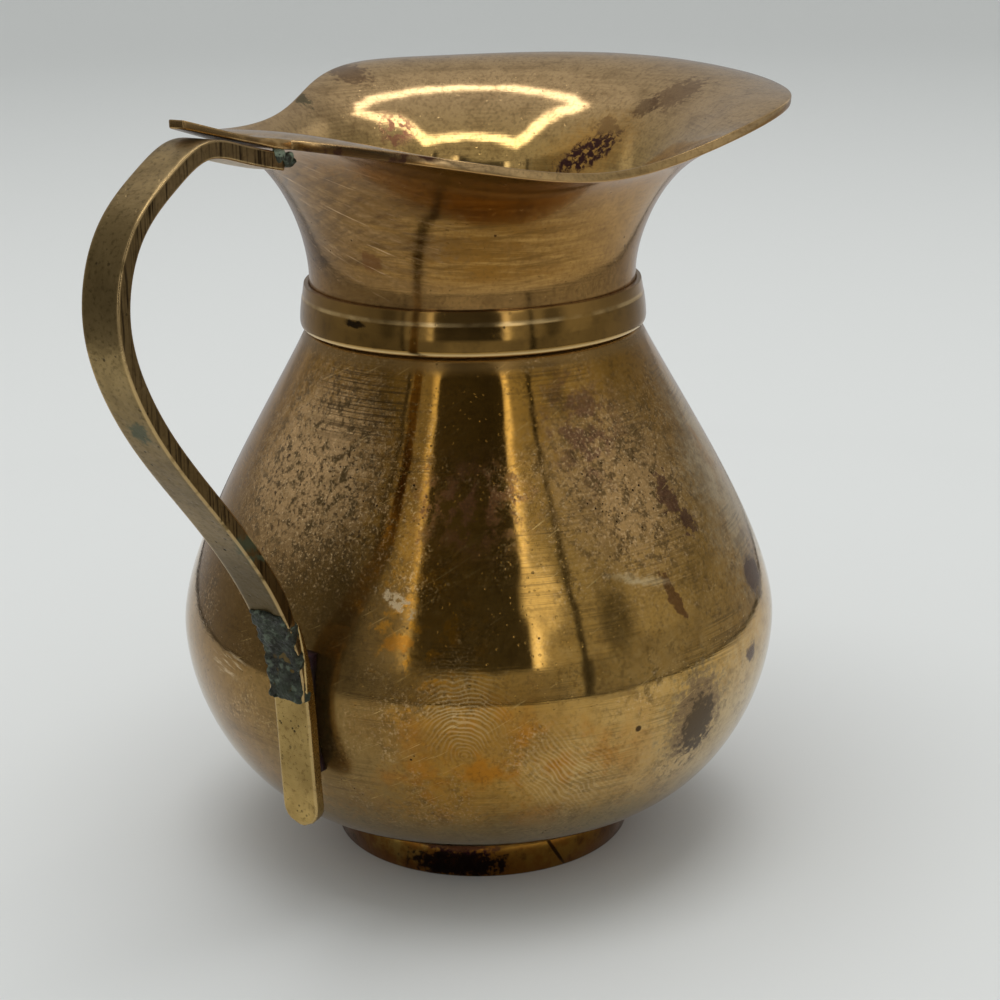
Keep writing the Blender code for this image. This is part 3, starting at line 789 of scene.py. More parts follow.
greasy = combine(finish, body_stain(finish, -68, 49, 22, 38, soft=0.5, strength=0.85),
                 cloud(finish, 6, 0.32, 0.55, detail=7))
lay(finish, greasy, tint="#C9B58F", rough=0.26, metal=0.8)
# Painted light: the lower side is made paler for the lit table that it mirrors.
lay(finish, body_stain(finish, -84, 18, 34, 22, soft=0.6, strength=0.7), tint="#CDB68A",
    rough=0.16, metal=0.85)
# Painted light low on the belly, broken into patches by a cloud.
under_belly_painted_light = combine(finish, body_stain(finish, -122, 11, 34, 9, soft=0.6),
                      cloud(finish, 5, 0.35, 0.6, detail=6, strength=0.7))
lay(finish, under_belly_painted_light, tint="#A89466", rough=0.2, metal=0.85)
haze = cloud(finish, 2.4, 0.45, 0.75, detail=7, strength=0.5)
lay(finish, haze, tint="#7E5E2C", rough=0.09)
print("The body's finish has", len(finish["tree"].nodes), "nodes so far")

# %% [markdown]
# Thin oxide shows as orange and yellow where it is young and as a dull violet brown where it
# is old. Each patch is a soft stain broken up by a cloud of its own grain.

# %% Orange and violet tarnish
# Direction, height, width, tall and softness of the stain, then cell, levels, detail, shift
# and strength of the cloud, then tint, roughness and metallic.
OXIDE_PATCHES = (
    ((-143, 22, 30, 16, 0.7), (5, 0.46, 0.62, 7, 0.0, 0.8), "#AE6F1B", 0.16, None),
    ((-160, 38, 14, 16, 0.6), (2.6, 0.5, 0.62, 7, 0.3, 0.7), "#C98A24", 0.12, None),
    ((-118, 59, 9, 13, 0.6), (2.2, 0.45, 0.58, 8, 0.6, 0.75), "#76503E", 0.26, None),
    ((-148.8, 52, 12, 10, 0.6), (1.5, 0.42, 0.58, 8, 0.0, 0.75), "#80543C", 0.34, 0.9),
)
for where, broken, tint, rough, metal in OXIDE_PATCHES:
    direction, height, width, tall, soft = where
    cell, low, high, detail, shift, strength = broken
    patch = combine(finish, body_stain(finish, direction, height, width, tall, soft=soft),
                    cloud(finish, cell, low, high, detail, strength, shift))
    lay(finish, patch, tint, rough, metal)
print("Patches of oxide on the body:", len(OXIDE_PATCHES))

# %% [markdown]
# Seen closely, old tarnish is a fine pepper and salt of dark film and rubbed metal. It is
# strongest on the two shoulders that a hand covers, and the dark grains are a third as
# strong elsewhere. Right under the collar, where a cloth can't reach, the film is whole.
# That band needs a mask which simply rises with height.

# %% Fine grain of the tarnish
def fade(finish, axis, start, end, strength=1.0, curve="SMOOTHSTEP"):
    """Mask that rises from one place to another along an axis, in millimetres."""
    tree = finish["tree"]
    parts = add_node(tree, "ShaderNodeSeparateXYZ", {0: finish["place"]})
    return add_node(tree, "ShaderNodeMapRange", {
        "Value": parts.outputs[axis], "From Min": start * MM, "From Max": end * MM,
        "To Max": strength}, interpolation_type=curve).outputs[0]


pouring_shoulder = combine(finish, body_stain(finish, -110, 52, 22, 26, soft=0.6, strength=0.8),
                           cloud(finish, 7, 0.45, 0.7, detail=5, strength=0.6),
                           operation="MAXIMUM")
handled = combine(finish, body_stain(finish, 170, 54, 24, 36, soft=0.6), pouring_shoulder,
                  operation="MAXIMUM")
pepper = combine(finish, cloud(finish, 0.5, 0.46, 0.64, detail=9),
                 cloud(finish, 2.6, 0.34, 0.6, detail=7, shift=1.1))
mostly_handled = combine(finish, handled, 0.35, operation="MAXIMUM")
lay(finish, combine(finish, pepper, mostly_handled), tint="#4F3A1B", rough=0.2)
crackle = combine(finish, cloud(finish, 1.3, 0.5, 0.62, detail=9, shift=0.2), handled)
lay(finish, crackle, tint="#66502C", rough=0.2)
lay(finish, fade(finish, "Z", 65.2, 66.6, strength=0.7), tint="#8A6C3C", rough=0.32, metal=0.7)
salt = cloud(finish, 0.34, 0.5, 0.7, detail=7, shift=0.7)
lay(finish, combine(finish, salt, handled), tint="#E9C48E", rough=0.28, metal=0.7)
print("The body's finish has", len(finish["tree"].nodes), "nodes so far")

# %% [markdown]
# The third kind of mask is streaks. Noise whose cells are long in the level directions and
# very low in height gives thin lines that fade in and out. Level ones run round the jug
# like the lathe's rings, and turned ones are wipe marks and scratches. Here they give a
# patch wiped with a cloth, and there is a scuff where the brass was rubbed pale.

# %% Wipe marks and a scuff
def streaks(finish, length, spacing, low, high, lean=0, toward=0, strength=1.0):
    """Thin lines of a given length and spacing, level or leaning."""
    tree = finish["tree"]
    laid = add_node(tree, "ShaderNodeMapping", {
        "Vector": finish["place"], "Rotation": (math.radians(lean), 0, math.radians(toward))},
        vector_type="TEXTURE")
    along, across = 1 / (length * MM), 1 / (spacing * MM)
    squeezed = add_node(tree, "ShaderNodeMapping", {
        "Vector": laid.outputs[0], "Scale": (along, along, across)})
    grain = add_node(tree, "ShaderNodeTexNoise", {
        "Vector": squeezed.outputs[0], "Scale": 1.0, "Detail": 3.0, "Roughness": 0.7})
    return add_node(tree, "ShaderNodeMapRange", {
        "Value": grain.outputs[0], "From Min": low, "From Max": high,
        "To Max": strength}).outputs[0]


wiped = combine(finish, streaks(finish, 4, 0.4, 0.5, 0.62, lean=-8, toward=160),
                body_stain(finish, 159, 31, 7, 3, soft=0.5, strength=0.8))
lay(finish, wiped, tint="#E0C79E", rough=0.3, metal=0.8)
scuff = combine(finish, body_stain(finish, -163.9, 42.1, 4.2, 1.5, lean=-28, frayed=3.0),
                cloud(finish, 0.8, 0.42, 0.52, detail=7, strength=0.75))
lay(finish, scuff, tint="#DFC69A", rough=0.35, metal=0.85)
print("Wipe marks and a scuff laid on", finish["material"].name)

# %% [markdown]
# Drops that dried on the brass left single stains, some dark to the middle and some with a
# paler halo, which is a second, larger stain laid first. The last one is a painted highlight,
# a pale streak for the soft glint of a shallow dent.

# %% Single stains on the body
# Direction, height, width, tall, tint, roughness, and what differs from a plain stain.
BODY_MARKS = (
    (-162.6, 37.7, 3.6, 2, "#B4761E", None, {"frayed": 3.0, "strength": 0.7}),
    (-104.6, 24.8, 10.5, 12.5, "#A08A5E", 0.3, {"frayed": 3.2, "soft": 0.15, "strength": 0.6}),
    (-104.6, 24.8, 8.4, 10.5, "#7A6042", 0.3, {"frayed": 2.8, "strength": 0.8}),
    (-104, 23.8, 5.4, 7.8, "#4A3A24", 0.34, {"frayed": 2.8, "soft": 0.15, "strength": 0.85}),
    (-87.1, 29.6, 2.6, 2.2, "#4A3020", 0.3, {"strength": 0.9}),
    (-119, 25.8, 0.8, 0.8, "#2C1C10", None, {"frayed": 0.0, "ragged": False, "strength": 0.9}),
    (-100.2, 50.2, 3, 5, "#64402F", 0.32, {"frayed": 3.4, "soft": 0.15, "strength": 0.8}),
    (-96.6, 46.8, 2.4, 2.6, "#5A3A2C", 0.32, {"frayed": 3.4, "soft": 0.15, "strength": 0.8}),
    (-108.3, 40.4, 1.5, 6.2, "#6B4526", 0.3,
     {"lean": 20, "frayed": 2.4, "soft": 0.15, "strength": 0.8}),
    (-78.3, 37.5, 6, 5, "#4B2F28", 0.35, {"strength": 0.8}),
)
for direction, height, width, tall, tint, rough, settings in BODY_MARKS:
    lay(finish, body_stain(finish, direction, height, width, tall, **settings), tint, rough)
# Painted highlight: the glint of a shallow dent, laid as a pale streak.
painted_dent_glint = body_stain(finish, -114.6, 42.6, 6, 0.7, lean=-14, frayed=1.2, soft=0.9, strength=0.6)
lay(finish, painted_dent_glint, tint="#EFD6A2", rough=0.2, metal=0.85)
print("Single stains on the body:", len(BODY_MARKS) + 1)

# %% [markdown]
# The fourth kind is specks: small round dots in the cells of a Voronoi texture, of which only
# a share has one. They are pits with black in them, thick on the shoulders and in one short
# row low on the belly. A few larger pits lie together on the shoulder beside the handle.

# %% Specks on the body
def specks(finish, spacing, size, share):
    """Small dots of differing sizes, in a share of the cells."""
    tree = finish["tree"]
    cells = add_node(tree, "ShaderNodeTexVoronoi", {
        "Vector": finish["place"], "Scale": 1 / (spacing * MM), "Randomness": 1.0})
    parts = add_node(tree, "ShaderNodeSeparateColor", {0: cells.outputs["Color"]})
    reach = add_node(tree, "ShaderNodeMapRange", {
        "Value": parts.outputs[0], "From Min": 1 - share, "To Max": size / spacing})
    room = add_node(tree, "ShaderNodeMath", {0: reach.outputs[0], 1: cells.outputs["Distance"]},
                    operation="SUBTRACT")
    return add_node(tree, "ShaderNodeMapRange", {
        "Value": room.outputs[0], "From Max": 0.3 * size / spacing}).outputs[0]


body_dots = specks(finish, 0.55, 0.18, 0.55)
peppered = combine(finish, body_stain(finish, -176, 55, 15, 16, soft=0.5),
                   body_stain(finish, -113, 52, 14, 16, soft=0.5),
                   body_stain(finish, -159.4, 24.5, 7.5, 1.4, lean=-12),
                   cloud(finish, 5, 0.45, 0.75, strength=0.7), operation="MAXIMUM")
lay(finish, combine(finish, body_dots, peppered), tint="#33220F", rough=0.5)
pits = specks(finish, 0.9, 0.42, 0.6)
lay(finish, combine(finish, pits, body_stain(finish, -169.5, 54.7, 4.6, 3.4)), tint="#20150B",
    rough=0.6)
print("Specks laid on", finish["material"].name)

# %% [markdown]
# Two fingerprints catch the light, one at the belly's height and one below. The ridges of a
# finger lie about half a millimetre apart. A wave texture draws such lines, as rings or as
# bands, and its own distortion bends them. At a scale of 1 its lines are tau / 20 apart,
# which gives the scale for a real spacing. The lines are drawn only inside a soft stain of
# a fingertip's size.

# %% Fingerprints
def ridges(finish, direction, height, width, tall, spacing, lean=0, bands="RINGS"):
    """Fingerprint on the body: curved ridges of a real spacing inside a ragged ellipse."""
    tree = finish["tree"]
    angle = math.radians(direction)
    radius = radius_at(height) * MM
    laid = add_node(tree, "ShaderNodeMapping", {
        "Vector": finish["place"], "Rotation": (math.radians(lean), 0, angle),
        "Location": (radius * math.cos(angle), radius * math.sin(angle),
                     (height - tall * 0.7) * MM)}, vector_type="TEXTURE")
    flat = add_node(tree, "ShaderNodeVectorMath", {0: laid.outputs[0], 1: (0, 1, 1)},
                    operation="MULTIPLY")
    wave = add_node(tree, "ShaderNodeTexWave", {
        "Vector": flat.outputs[0], "Scale": math.tau / 20 / (spacing * MM), "Distortion": 14.0,
        "Detail": 1.5, "Detail Scale": 0.45}, wave_type=bands, rings_direction="X",
        bands_direction="Z")
    crest = add_node(tree, "ShaderNodeMapRange", {
        "Value": wave.outputs[1], "From Min": 0.45, "From Max": 0.85})
    finger = body_stain(finish, direction, height, width, tall, lean=lean, soft=0.85, frayed=1.0)
    return combine(finish, crest.outputs[0], finger)


prints = combine(finish, ridges(finish, -151.3, 31, 7, 9, 0.5),
                 ridges(finish, -132.2, 21.2, 11, 8, 0.55, lean=-50, bands="BANDS"),
                 operation="MAXIMUM")
lay(finish, combine(finish, prints, 0.36), tint="#E2C690", rough=0.2, metal=0.92)
print("Two fingerprints laid on", finish["material"].name)

# %% [markdown]
# The lathe's rings are still there where nobody polished them away, a quarter of a
# millimetre apart. Later handling left short scratches that lean one way and longer wipes
# that lean the other, all of them on the near side.

# %% Rings and scratches of the body
NEAR_SIDE = -148

body_rings = streaks(finish, 22, 0.26, 0.46, 0.6)
unpolished = combine(finish, body_stain(finish, 178, 62, 13, 8, soft=0.6, strength=0.9),
                     cloud(finish, 9, 0.45, 0.65, strength=0.45), operation="MAXIMUM")
lay(finish, combine(finish, body_rings, unpolished), tint="#5C4524", rough=0.16)
scratches = combine(finish, streaks(finish, 7, 0.22, 0.64, 0.7, lean=30, toward=NEAR_SIDE),
                    cloud(finish, 8, 0.4, 0.6, strength=0.55))
lay(finish, scratches, tint="#E2C07C", rough=0.3)
long_wipes = combine(finish, streaks(finish, 9, 0.5, 0.64, 0.72, lean=-38, toward=NEAR_SIDE),
                     body_stain(finish, -118, 56, 22, 20, soft=0.5, strength=0.5))
lay(finish, long_wipes, tint="#6A4E28", rough=0.2)
print("Rings and scratches laid on", finish["material"].name)

# %% [markdown]
# Last comes the relief that is too fine for the mesh: shallow dents, the rings and the pits.
# Bump nodes are stacked, each with a real depth, and the layers are linked to the shader.

# %% Dress the body
def surface_bump(finish, *layers):
    """Stack height masks, each with its depth in millimetres, into one bumped normal."""
    normal = None
    for mask, depth in layers:
        inputs = {"Height": mask, "Distance": depth * MM, "Strength": 1.0}
        if normal:
            inputs["Normal"] = normal
        normal = add_node(finish["tree"], "ShaderNodeBump", inputs).outputs[0]
    return normal


def dress(finish, bump, *pieces):
    """Bring the layers to the shader and give the material to its pieces."""
    tree = finish["tree"]
    shader = tree.nodes["Principled BSDF"]
    for socket in ("Base Color", "Roughness", "Metallic"):
        if isinstance(finish[socket], bpy.types.NodeSocket):
            tree.links.new(finish[socket], shader.inputs[socket])
        else:
            shader.inputs[socket].default_value = finish[socket]
    tree.links.new(bump, shader.inputs["Normal"])
    for piece in pieces:
        piece.data.materials.append(finish["material"])
    print(finish["material"].name, "has", len(tree.nodes), "nodes")


body_dents = cloud(finish, 9, 0.0, 1.0, detail=2)
dress(finish, surface_bump(finish, (body_dents, 0.06), (body_rings, 0.0008), (body_dots, -0.01)),
      body)

# %% [markdown]
# ## Spun brass of the neck
#
# The same sheet, but the outside under the lip is where soot and polish gather, so it is a
# browner gold with level streaks. The inside of the funnel has lost its shine to milk and
# washing, and has a paler, pinkish bloom. Inside and outside are one mesh, so they are told
# apart by where the surface faces: all of the inside faces up at least a little.

# %% Films on the neck
def facing(finish, axis, start, end, normal="Normal"):
    """Mask that rises with how far the surface faces along an axis."""
    tree = finish["tree"]
    geometry = add_node(tree, "ShaderNodeNewGeometry")
    parts = add_node(tree, "ShaderNodeSeparateXYZ", {0: geometry.outputs[normal]})
    return add_node(tree, "ShaderNodeMapRange", {
        "Value": parts.outputs[axis], "From Min": start, "From Max": end}).outputs[0]


finish = start_finish("spun_brass_neck", "#8A6128", 0.07, metal=0.98)
lay(finish, cloud(finish, 12, 0.4, 0.7, detail=6, strength=0.55), tint="#8A652F", rough=0.1)
lay(finish, streaks(finish, 34, 1.5, 0.45, 0.6, strength=0.6), tint="#7C5826", rough=0.12)
lay(finish, stain(finish, -92, 21, 82, 24, 34, soft=0.7, strength=0.8), tint="#AE864C",
    rough=0.17, metal=0.9)
lay(finish, fade(finish, "Z", 84, 90, strength=0.85), tint="#A06E26", rough=0.2, metal=0.7)
inside = facing(finish, "Z", -0.02, 0.12)
lay(finish, inside, tint="#CFAB68", rough=0.045, metal=0.93)
bloom = combine(finish, inside, fade(finish, "Z", 86, 92, strength=0.75, curve="LINEAR"))
lay(finish, bloom, tint="#D8B688", rough=0.13, metal=0.8)
print("Films laid on", finish["material"].name)

# %% [markdown]
# The neck is where a hand wipes round. On the handle's side the wipes lean both ways over a
# dull film, and on the near side they run level, pale and dark. The foot of the neck and the
# tab have films of their own, and a fine grain lies over all.

# %% Wipe marks on the neck
handle_film = stain(finish, 168, 22, 84, 26, 34, soft=0.6, strength=0.75)
lay(finish, handle_film, tint="#7A5E36", rough=0.22, metal=0.9)
handle_side = stain(finish, 166, 22, 84, 28, 36, soft=0.5)
near_side = stain(finish, -145, 21, 79, 30, 16, soft=0.6)
falling = streaks(finish, 5, 0.9, 0.42, 0.7, lean=-24, toward=166)
lay(finish, combine(finish, falling, handle_side), tint="#A17E50", rough=0.28, metal=0.85)
climbing = streaks(finish, 4, 0.8, 0.44, 0.72, lean=18, toward=160)
lay(finish, combine(finish, climbing, handle_side), tint="#5C4427", rough=0.2)
pale_wipes = streaks(finish, 16, 1.2, 0.46, 0.6, lean=-4, toward=-145)
lay(finish, combine(finish, pale_wipes, near_side, 0.7), tint="#B98E4C", rough=0.15, metal=0.9)
dark_wipes = streaks(finish, 12, 0.9, 0.5, 0.62, lean=5, toward=-140)
lay(finish, combine(finish, dark_wipes, near_side, 0.6), tint="#6A4A1E", rough=0.12)
lay(finish, fade(finish, "Z", 77.5, 73.5, strength=0.8), tint="#B88F55", rough=0.16, metal=0.85)
tab_film = fade(finish, "X", -40, -47, strength=0.9, curve="LINEAR")
lay(finish, tab_film, tint="#5E4A2C", rough=0.32, metal=0.9)
lay(finish, cloud(finish, 2.2, 0.45, 0.75, detail=7, strength=0.4), tint="#76562C", rough=0.1)
lay(finish, cloud(finish, 0.5, 0.46, 0.66, detail=9, strength=0.35), tint="#6A4C26", rough=0.12)
print("The neck's finish has", len(finish["tree"].nodes), "nodes so far")

# %% [markdown]
# In the funnel sits one dark, crusted blotch with a warm halo, where something dried, and a
# reddish patch further round. Smaller marks lie toward the pouring front, and one brown
# mark lies outside, between neck and handle.

# %% Stains on the neck and in its funnel
lay(finish, stain(finish, 177.7, 21, 78.4, 3, 2.4, strength=0.7), tint="#6A4524")
halo = stain(finish, -8.8, 23.6, 85.8, 13, 7, lean=-30, soft=0.6, strength=0.7)
lay(finish, combine(finish, halo, inside), tint="#D9A24E", rough=0.12)
blotch = combine(finish, stain(finish, -8.8, 23.6, 85.6, 9.5, 3.6, lean=-30, frayed=2.6, soft=0.25),
                 cloud(finish, 0.9, 0.4, 0.5, detail=8, shift=0.4), inside)
lay(finish, blotch, tint="#412522", rough=0.35, metal=0.85)
reddish = combine(finish, stain(finish, 55.5, 24.4, 88.4, 4.6, 4, soft=0.4),
                  cloud(finish, 1.1, 0.45, 0.55, detail=8, strength=0.8))
lay(finish, reddish, tint="#8A5240", rough=0.3)

# Direction, radius, height, width, tall and tint.
FUNNEL_MARKS = (
    (60.6, 34.9, 95.2, 4.6, 3.0, "#6F4E32"), (-26.3, 31.8, 93.1, 6.0, 4.0, "#7A5836"),
    (-21.0, 30.5, 91.5, 3.0, 2.0, "#6A4C30"), (-12.0, 28.0, 89.0, 5.0, 2.0, "#8A6A44"),
)
for *where, tint in FUNNEL_MARKS:
    mark = stain(finish, *where, frayed=3.4, soft=0.2, strength=0.65)
    lay(finish, combine(finish, mark, inside), tint, 0.25)
lay(finish, stain(finish, 81.3, 28.9, 93.3, 3, 1.8, frayed=3, strength=0.8), tint="#3E4428",
    rough=0.4)
print("Small marks in the funnel:", len(FUNNEL_MARKS))

# %% [markdown]
# Specks, scratches and rings come again. New here is the wear of the edges: the sharpest
# bends of the surface, stored with each vertex, are rubbed bright. The near edge of the lip
# beside the handle never was, and has gone dark. A mask by where the surface faces keeps the
# dark off the top of the lip.

# %% Edges, specks and rings of the neck
def edges(finish, low, high, strength=1.0):
    """The places where the surface bends by more than an angle, in degrees."""
    tree = finish["tree"]
    stored = add_node(tree, "ShaderNodeAttribute", attribute_name="bend")
    return add_node(tree, "ShaderNodeMapRange", {
        "Value": stored.outputs["Fac"], "From Min": math.radians(low),
        "From Max": math.radians(high), "To Max": strength},
        interpolation_type="SMOOTHSTEP").outputs[0]


neck_dots = specks(finish, 0.8, 0.22, 0.4)
speckled = combine(finish, neck_dots, cloud(finish, 6, 0.45, 0.7, strength=0.8))
lay(finish, speckled, tint="#38230F", rough=0.5)
scratches = combine(finish, streaks(finish, 8, 0.25, 0.62, 0.7, lean=-20, toward=170),
                    stain(finish, 168, 22, 84, 26, 34, soft=0.6, strength=0.7))
lay(finish, scratches, tint="#DDB98E", rough=0.3)
lay(finish, edges(finish, 10, 24, strength=0.6), tint="#C9A46C", rough=0.2)
dark_edge = combine(finish, facing(finish, "Z", 0.93, 0.8),
                    stain(finish, -162, 37.2, 93.35, 26, 2.2, frayed=0.5, ragged=False,
                          strength=0.85))
lay(finish, dark_edge, tint="#4A3216", rough=0.3)
burnt = combine(finish, dark_edge, cloud(finish, 1.6, 0.5, 0.6, detail=6))
lay(finish, burnt, tint="#3A1C14", rough=0.4)
neck_rings = streaks(finish, 30, 0.3, 0.42, 0.62)
ringed = combine(finish, neck_rings, cloud(finish, 7, 0.38, 0.62, strength=0.3))
lay(finish, ringed, tint="#73522B")
neck_dents = cloud(finish, 9, 0.0, 1.0, detail=2)
dress(finish, surface_bump(finish, (neck_dents, 0.07), (neck_rings, 0.001), (neck_dots, -0.01)),
      neck)

# %% [markdown]
# ## Turned brass of the collar
#
# The collar is turned from thicker brass and still has a good polish under a brown film,
# which is a roughness near 0.1. Its lower edge and the line where its face meets the ledge
# are painted highlights, pale lines where light catches them. Both lie at fixed heights, so
# masks that rise with height draw them, and a cloud breaks the line up.

# %% Collar finish
finish = start_finish("turned_brass_collar", "#96733A", 0.07, metal=0.97)
lay(finish, cloud(finish, 7, 0.4, 0.7, detail=6, strength=0.5), tint="#6E5226", rough=0.12)
lay(finish, stain(finish, 170.2, 21.4, 70.7, 3.0, 0.7, lean=-8, frayed=1.2, strength=0.95),
    tint="#24180C", rough=0.6)
lay(finish, cloud(finish, 1.6, 0.45, 0.75, detail=7, strength=0.5), tint="#5F4824", rough=0.2)
collar_rings = streaks(finish, 30, 0.25, 0.4, 0.65)
lay(finish, collar_rings, rough=0.14)
collar_dots = specks(finish, 0.8, 0.2, 0.35)
speckled = combine(finish, collar_dots, cloud(finish, 5, 0.45, 0.7, strength=0.8))
lay(finish, speckled, tint="#2E1D10", rough=0.5)
# Painted highlight: a pale line along the collar's lower edge.
lay(finish, fade(finish, "Z", 68.3, 67.9, strength=0.8), tint="#DDBE86", rough=0.2)
lay(finish, fade(finish, "Z", 71.5, 71.9, strength=0.6), tint="#9C7840", rough=0.12, metal=0.9)
# Painted highlight along the crease between the face and the ledge.
crease_painted_highlight = combine(finish, fade(finish, "Z", 71.9, 71.5), fade(finish, "Z", 71.15, 71.35),
                 cloud(finish, 7, 0.3, 0.6, strength=0.9))
lay(finish, crease_painted_highlight, tint="#D9B87E", rough=0.16, metal=0.8)
dress(finish, surface_bump(finish, (collar_rings, 0.0008), (collar_dots, -0.01)), collar)

# %% [markdown]
# ## Rolled brass of the foot
#
# The foot is the part that stands in the wet, so it is the most orange, and a satin film
# gives it a roughness near 0.2. It has olive patches at both sides and a black stain where
# something burnt onto it, purple at its upper rim. The thin leaning line is the seam where
# the ends of the strip meet.

# %% Foot finish
FOOT_RADIUS = 19.3

finish = start_finish("rolled_brass_foot", "#8A5B22", 0.16)
lay(finish, cloud(finish, 6, 0.4, 0.7, detail=6, strength=0.6), tint="#6B421C", rough=0.24)
right_patch = combine(finish, stain(finish, -118, FOOT_RADIUS, 2.8, 14, 6, soft=0.8),
                      cloud(finish, 3, 0.4, 0.6, detail=6, strength=0.8))
lay(finish, right_patch, tint="#A07A34")
left_patch = combine(finish, stain(finish, 178, FOOT_RADIUS, 3.2, 10, 6, soft=0.8),
                     cloud(finish, 2.4, 0.4, 0.6, detail=6, strength=0.8))
lay(finish, left_patch, tint="#A98A48")

# Direction, height, width, tall, tint, roughness, and what differs from a plain stain.
FOOT_MARKS = (
    (-158, 1.9, 12, 3.6, "#171012", 0.25, {"frayed": 3.0, "soft": 0.2, "strength": 0.97}),
    (-157, 4.4, 9, 2, "#33191F", 0.3, {"frayed": 3.4, "soft": 0.2, "strength": 0.75}),
    (-120.5, 2.6, 0.5, 6, "#24140C", 0.4,
     {"lean": 32, "frayed": 0.3, "ragged": False, "strength": 0.9}),
    (-152, 5.6, 22, 0.8, "#3A2130", 0.35, {"soft": 0.5, "strength": 0.8}),
)
for direction, height, width, tall, tint, rough, settings in FOOT_MARKS:
    mark = stain(finish, direction, FOOT_RADIUS, height, width, tall, **settings)
    lay(finish, mark, tint, rough)
lay(finish, cloud(finish, 1.6, 0.5, 0.75, detail=7, strength=0.7), tint="#3C2412", rough=0.35)
foot_dents = cloud(finish, 3, 0.0, 1.0)
dress(finish, surface_bump(finish, (foot_dents, 0.05),
                           (streaks(finish, 30, 0.25, 0.4, 0.65), 0.0015)), foot)

# %% [markdown]
# ## Filed brass of the strap
#
# The strap was cut from plate and filed. It has the grey, olive tone of brass that is
# gripped but never polished, and a satin roughness of 0.3 to 0.4. It is darker where the
# hand lies and down toward the belly.

# %% Films on the strap
finish = start_finish("filed_brass_strap", "#BFA372", 0.3)
lay(finish, cloud(finish, 14, 0.35, 0.7, detail=4, strength=0.5), tint="#836C40", rough=0.36)
lay(finish, fade(finish, "X", -61, -66, strength=0.55), tint="#736037", rough=0.3)
lay(finish, fade(finish, "Z", 78, 62, strength=0.7), tint="#5F4E2D", rough=0.36)
lay(finish, fade(finish, "Z", 56, 48, strength=0.6), tint="#3B3119", rough=0.36)
lay(finish, cloud(finish, 2.4, 0.4, 0.75, detail=8, strength=0.45), tint="#5C4B29", rough=0.4)
lay(finish, cloud(finish, 0.5, 0.48, 0.7, detail=8, strength=0.5), tint="#4A3C1C", rough=0.42)
print("Films laid on", finish["material"].name)

# %% [markdown]
# The file's marks run across the strap's flanks. They are streaks a third of a millimetre
# apart, a little coarser than a smooth file leaves, so that they show. The flanks are where
# the surface faces to one side or the other, and they are darkened as painted shade. Three
# spots have gone green, and the edges are painted bright in places, partly wear and partly a
# painted highlight.

# %% File marks, green spots and edges of the strap
flank = combine(finish, facing(finish, "Y", 0.7, 0.95, normal="True Normal"),
                facing(finish, "Y", -0.7, -0.95, normal="True Normal"), operation="MAXIMUM")
file_marks = streaks(finish, 9, 0.34, 0.5, 0.66, lean=90, toward=90)
# Painted shade on the strap's narrow side faces.
lay(finish, combine(finish, flank, 0.6), tint="#5E4726")
lay(finish, combine(finish, file_marks, flank), tint="#2E2110", rough=0.5)

# The middle of each spot, its width and how tall it is.
GREEN_SPOTS = (
    (-64.1, -0.2, 68.5, 2.2, 2.6), (-51.2, -2.4, 53.0, 1.6, 2.0), (-50.0, -2.4, 51.2, 0.8, 1.2),
)
for x, y, z, width, tall in GREEN_SPOTS:
    spot = stain(finish, math.degrees(math.atan2(y, x)), math.hypot(x, y), z, width, tall,
                 lean=-35, frayed=2.8, soft=0.4, strength=0.8)
    lay(finish, spot, tint="#39452C", rough=0.5, metal=0.4)
strap_dots = specks(finish, 0.7, 0.25, 0.4)
lay(finish, combine(finish, strap_dots, cloud(finish, 5, 0.4, 0.7)), tint="#2A2010", rough=0.5)
# Partly wear and partly a painted highlight along the strap's edges.
worn_and_highlit_edges = combine(finish, edges(finish, 9, 20), cloud(finish, 2.5, 0.3, 0.5, detail=5), 0.62)
lay(finish, worn_and_highlit_edges, tint="#D2B27C", rough=0.25)
dress(finish, surface_bump(finish, (cloud(finish, 5, 0.0, 1.0), 0.12), (file_marks, 0.004),
                           (strap_dots, -0.02)), strap)

# %% [markdown]
# ## Filed brass of the tail
#
# The tail was filed from another, yellower piece. Its upper half has a dull film from the
# heat of brazing, and its tip is the brightest part of the handle.

# %% Tail finish
finish = start_finish("filed_brass_tail", "#C4A566", 0.28)
lay(finish, cloud(finish, 6, 0.4, 0.7, detail=6, strength=0.6), tint="#7E6232", rough=0.32)
lay(finish, fade(finish, "Z", 16, 22, strength=0.5), tint="#77633A", rough=0.22)
lay(finish, cloud(finish, 0.6, 0.5, 0.68, detail=8, strength=0.5), tint="#5E4722", rough=0.4)
tail_dots = specks(finish, 0.6, 0.25, 0.5)
lay(finish, combine(finish, tail_dots, cloud(finish, 4, 0.4, 0.65)), tint="#2A2010", rough=0.5)
lay(finish, edges(finish, 9, 20, strength=0.5), tint="#CDB07A", rough=0.25)
dress(finish, surface_bump(finish, (cloud(finish, 3, 0.0, 1.0), 0.1), (tail_dots, -0.02)), tail)

# %% [markdown]
# ## Braze with verdigris
#
# Filler metal that was never cleaned. Flux and damp turned its skin to verdigris, a matt
# blue-green copper salt over dark oxide, so most of it is no longer a bare metal: its
# metallic value is low, and its roughness is above 0.5 where the salt lies.

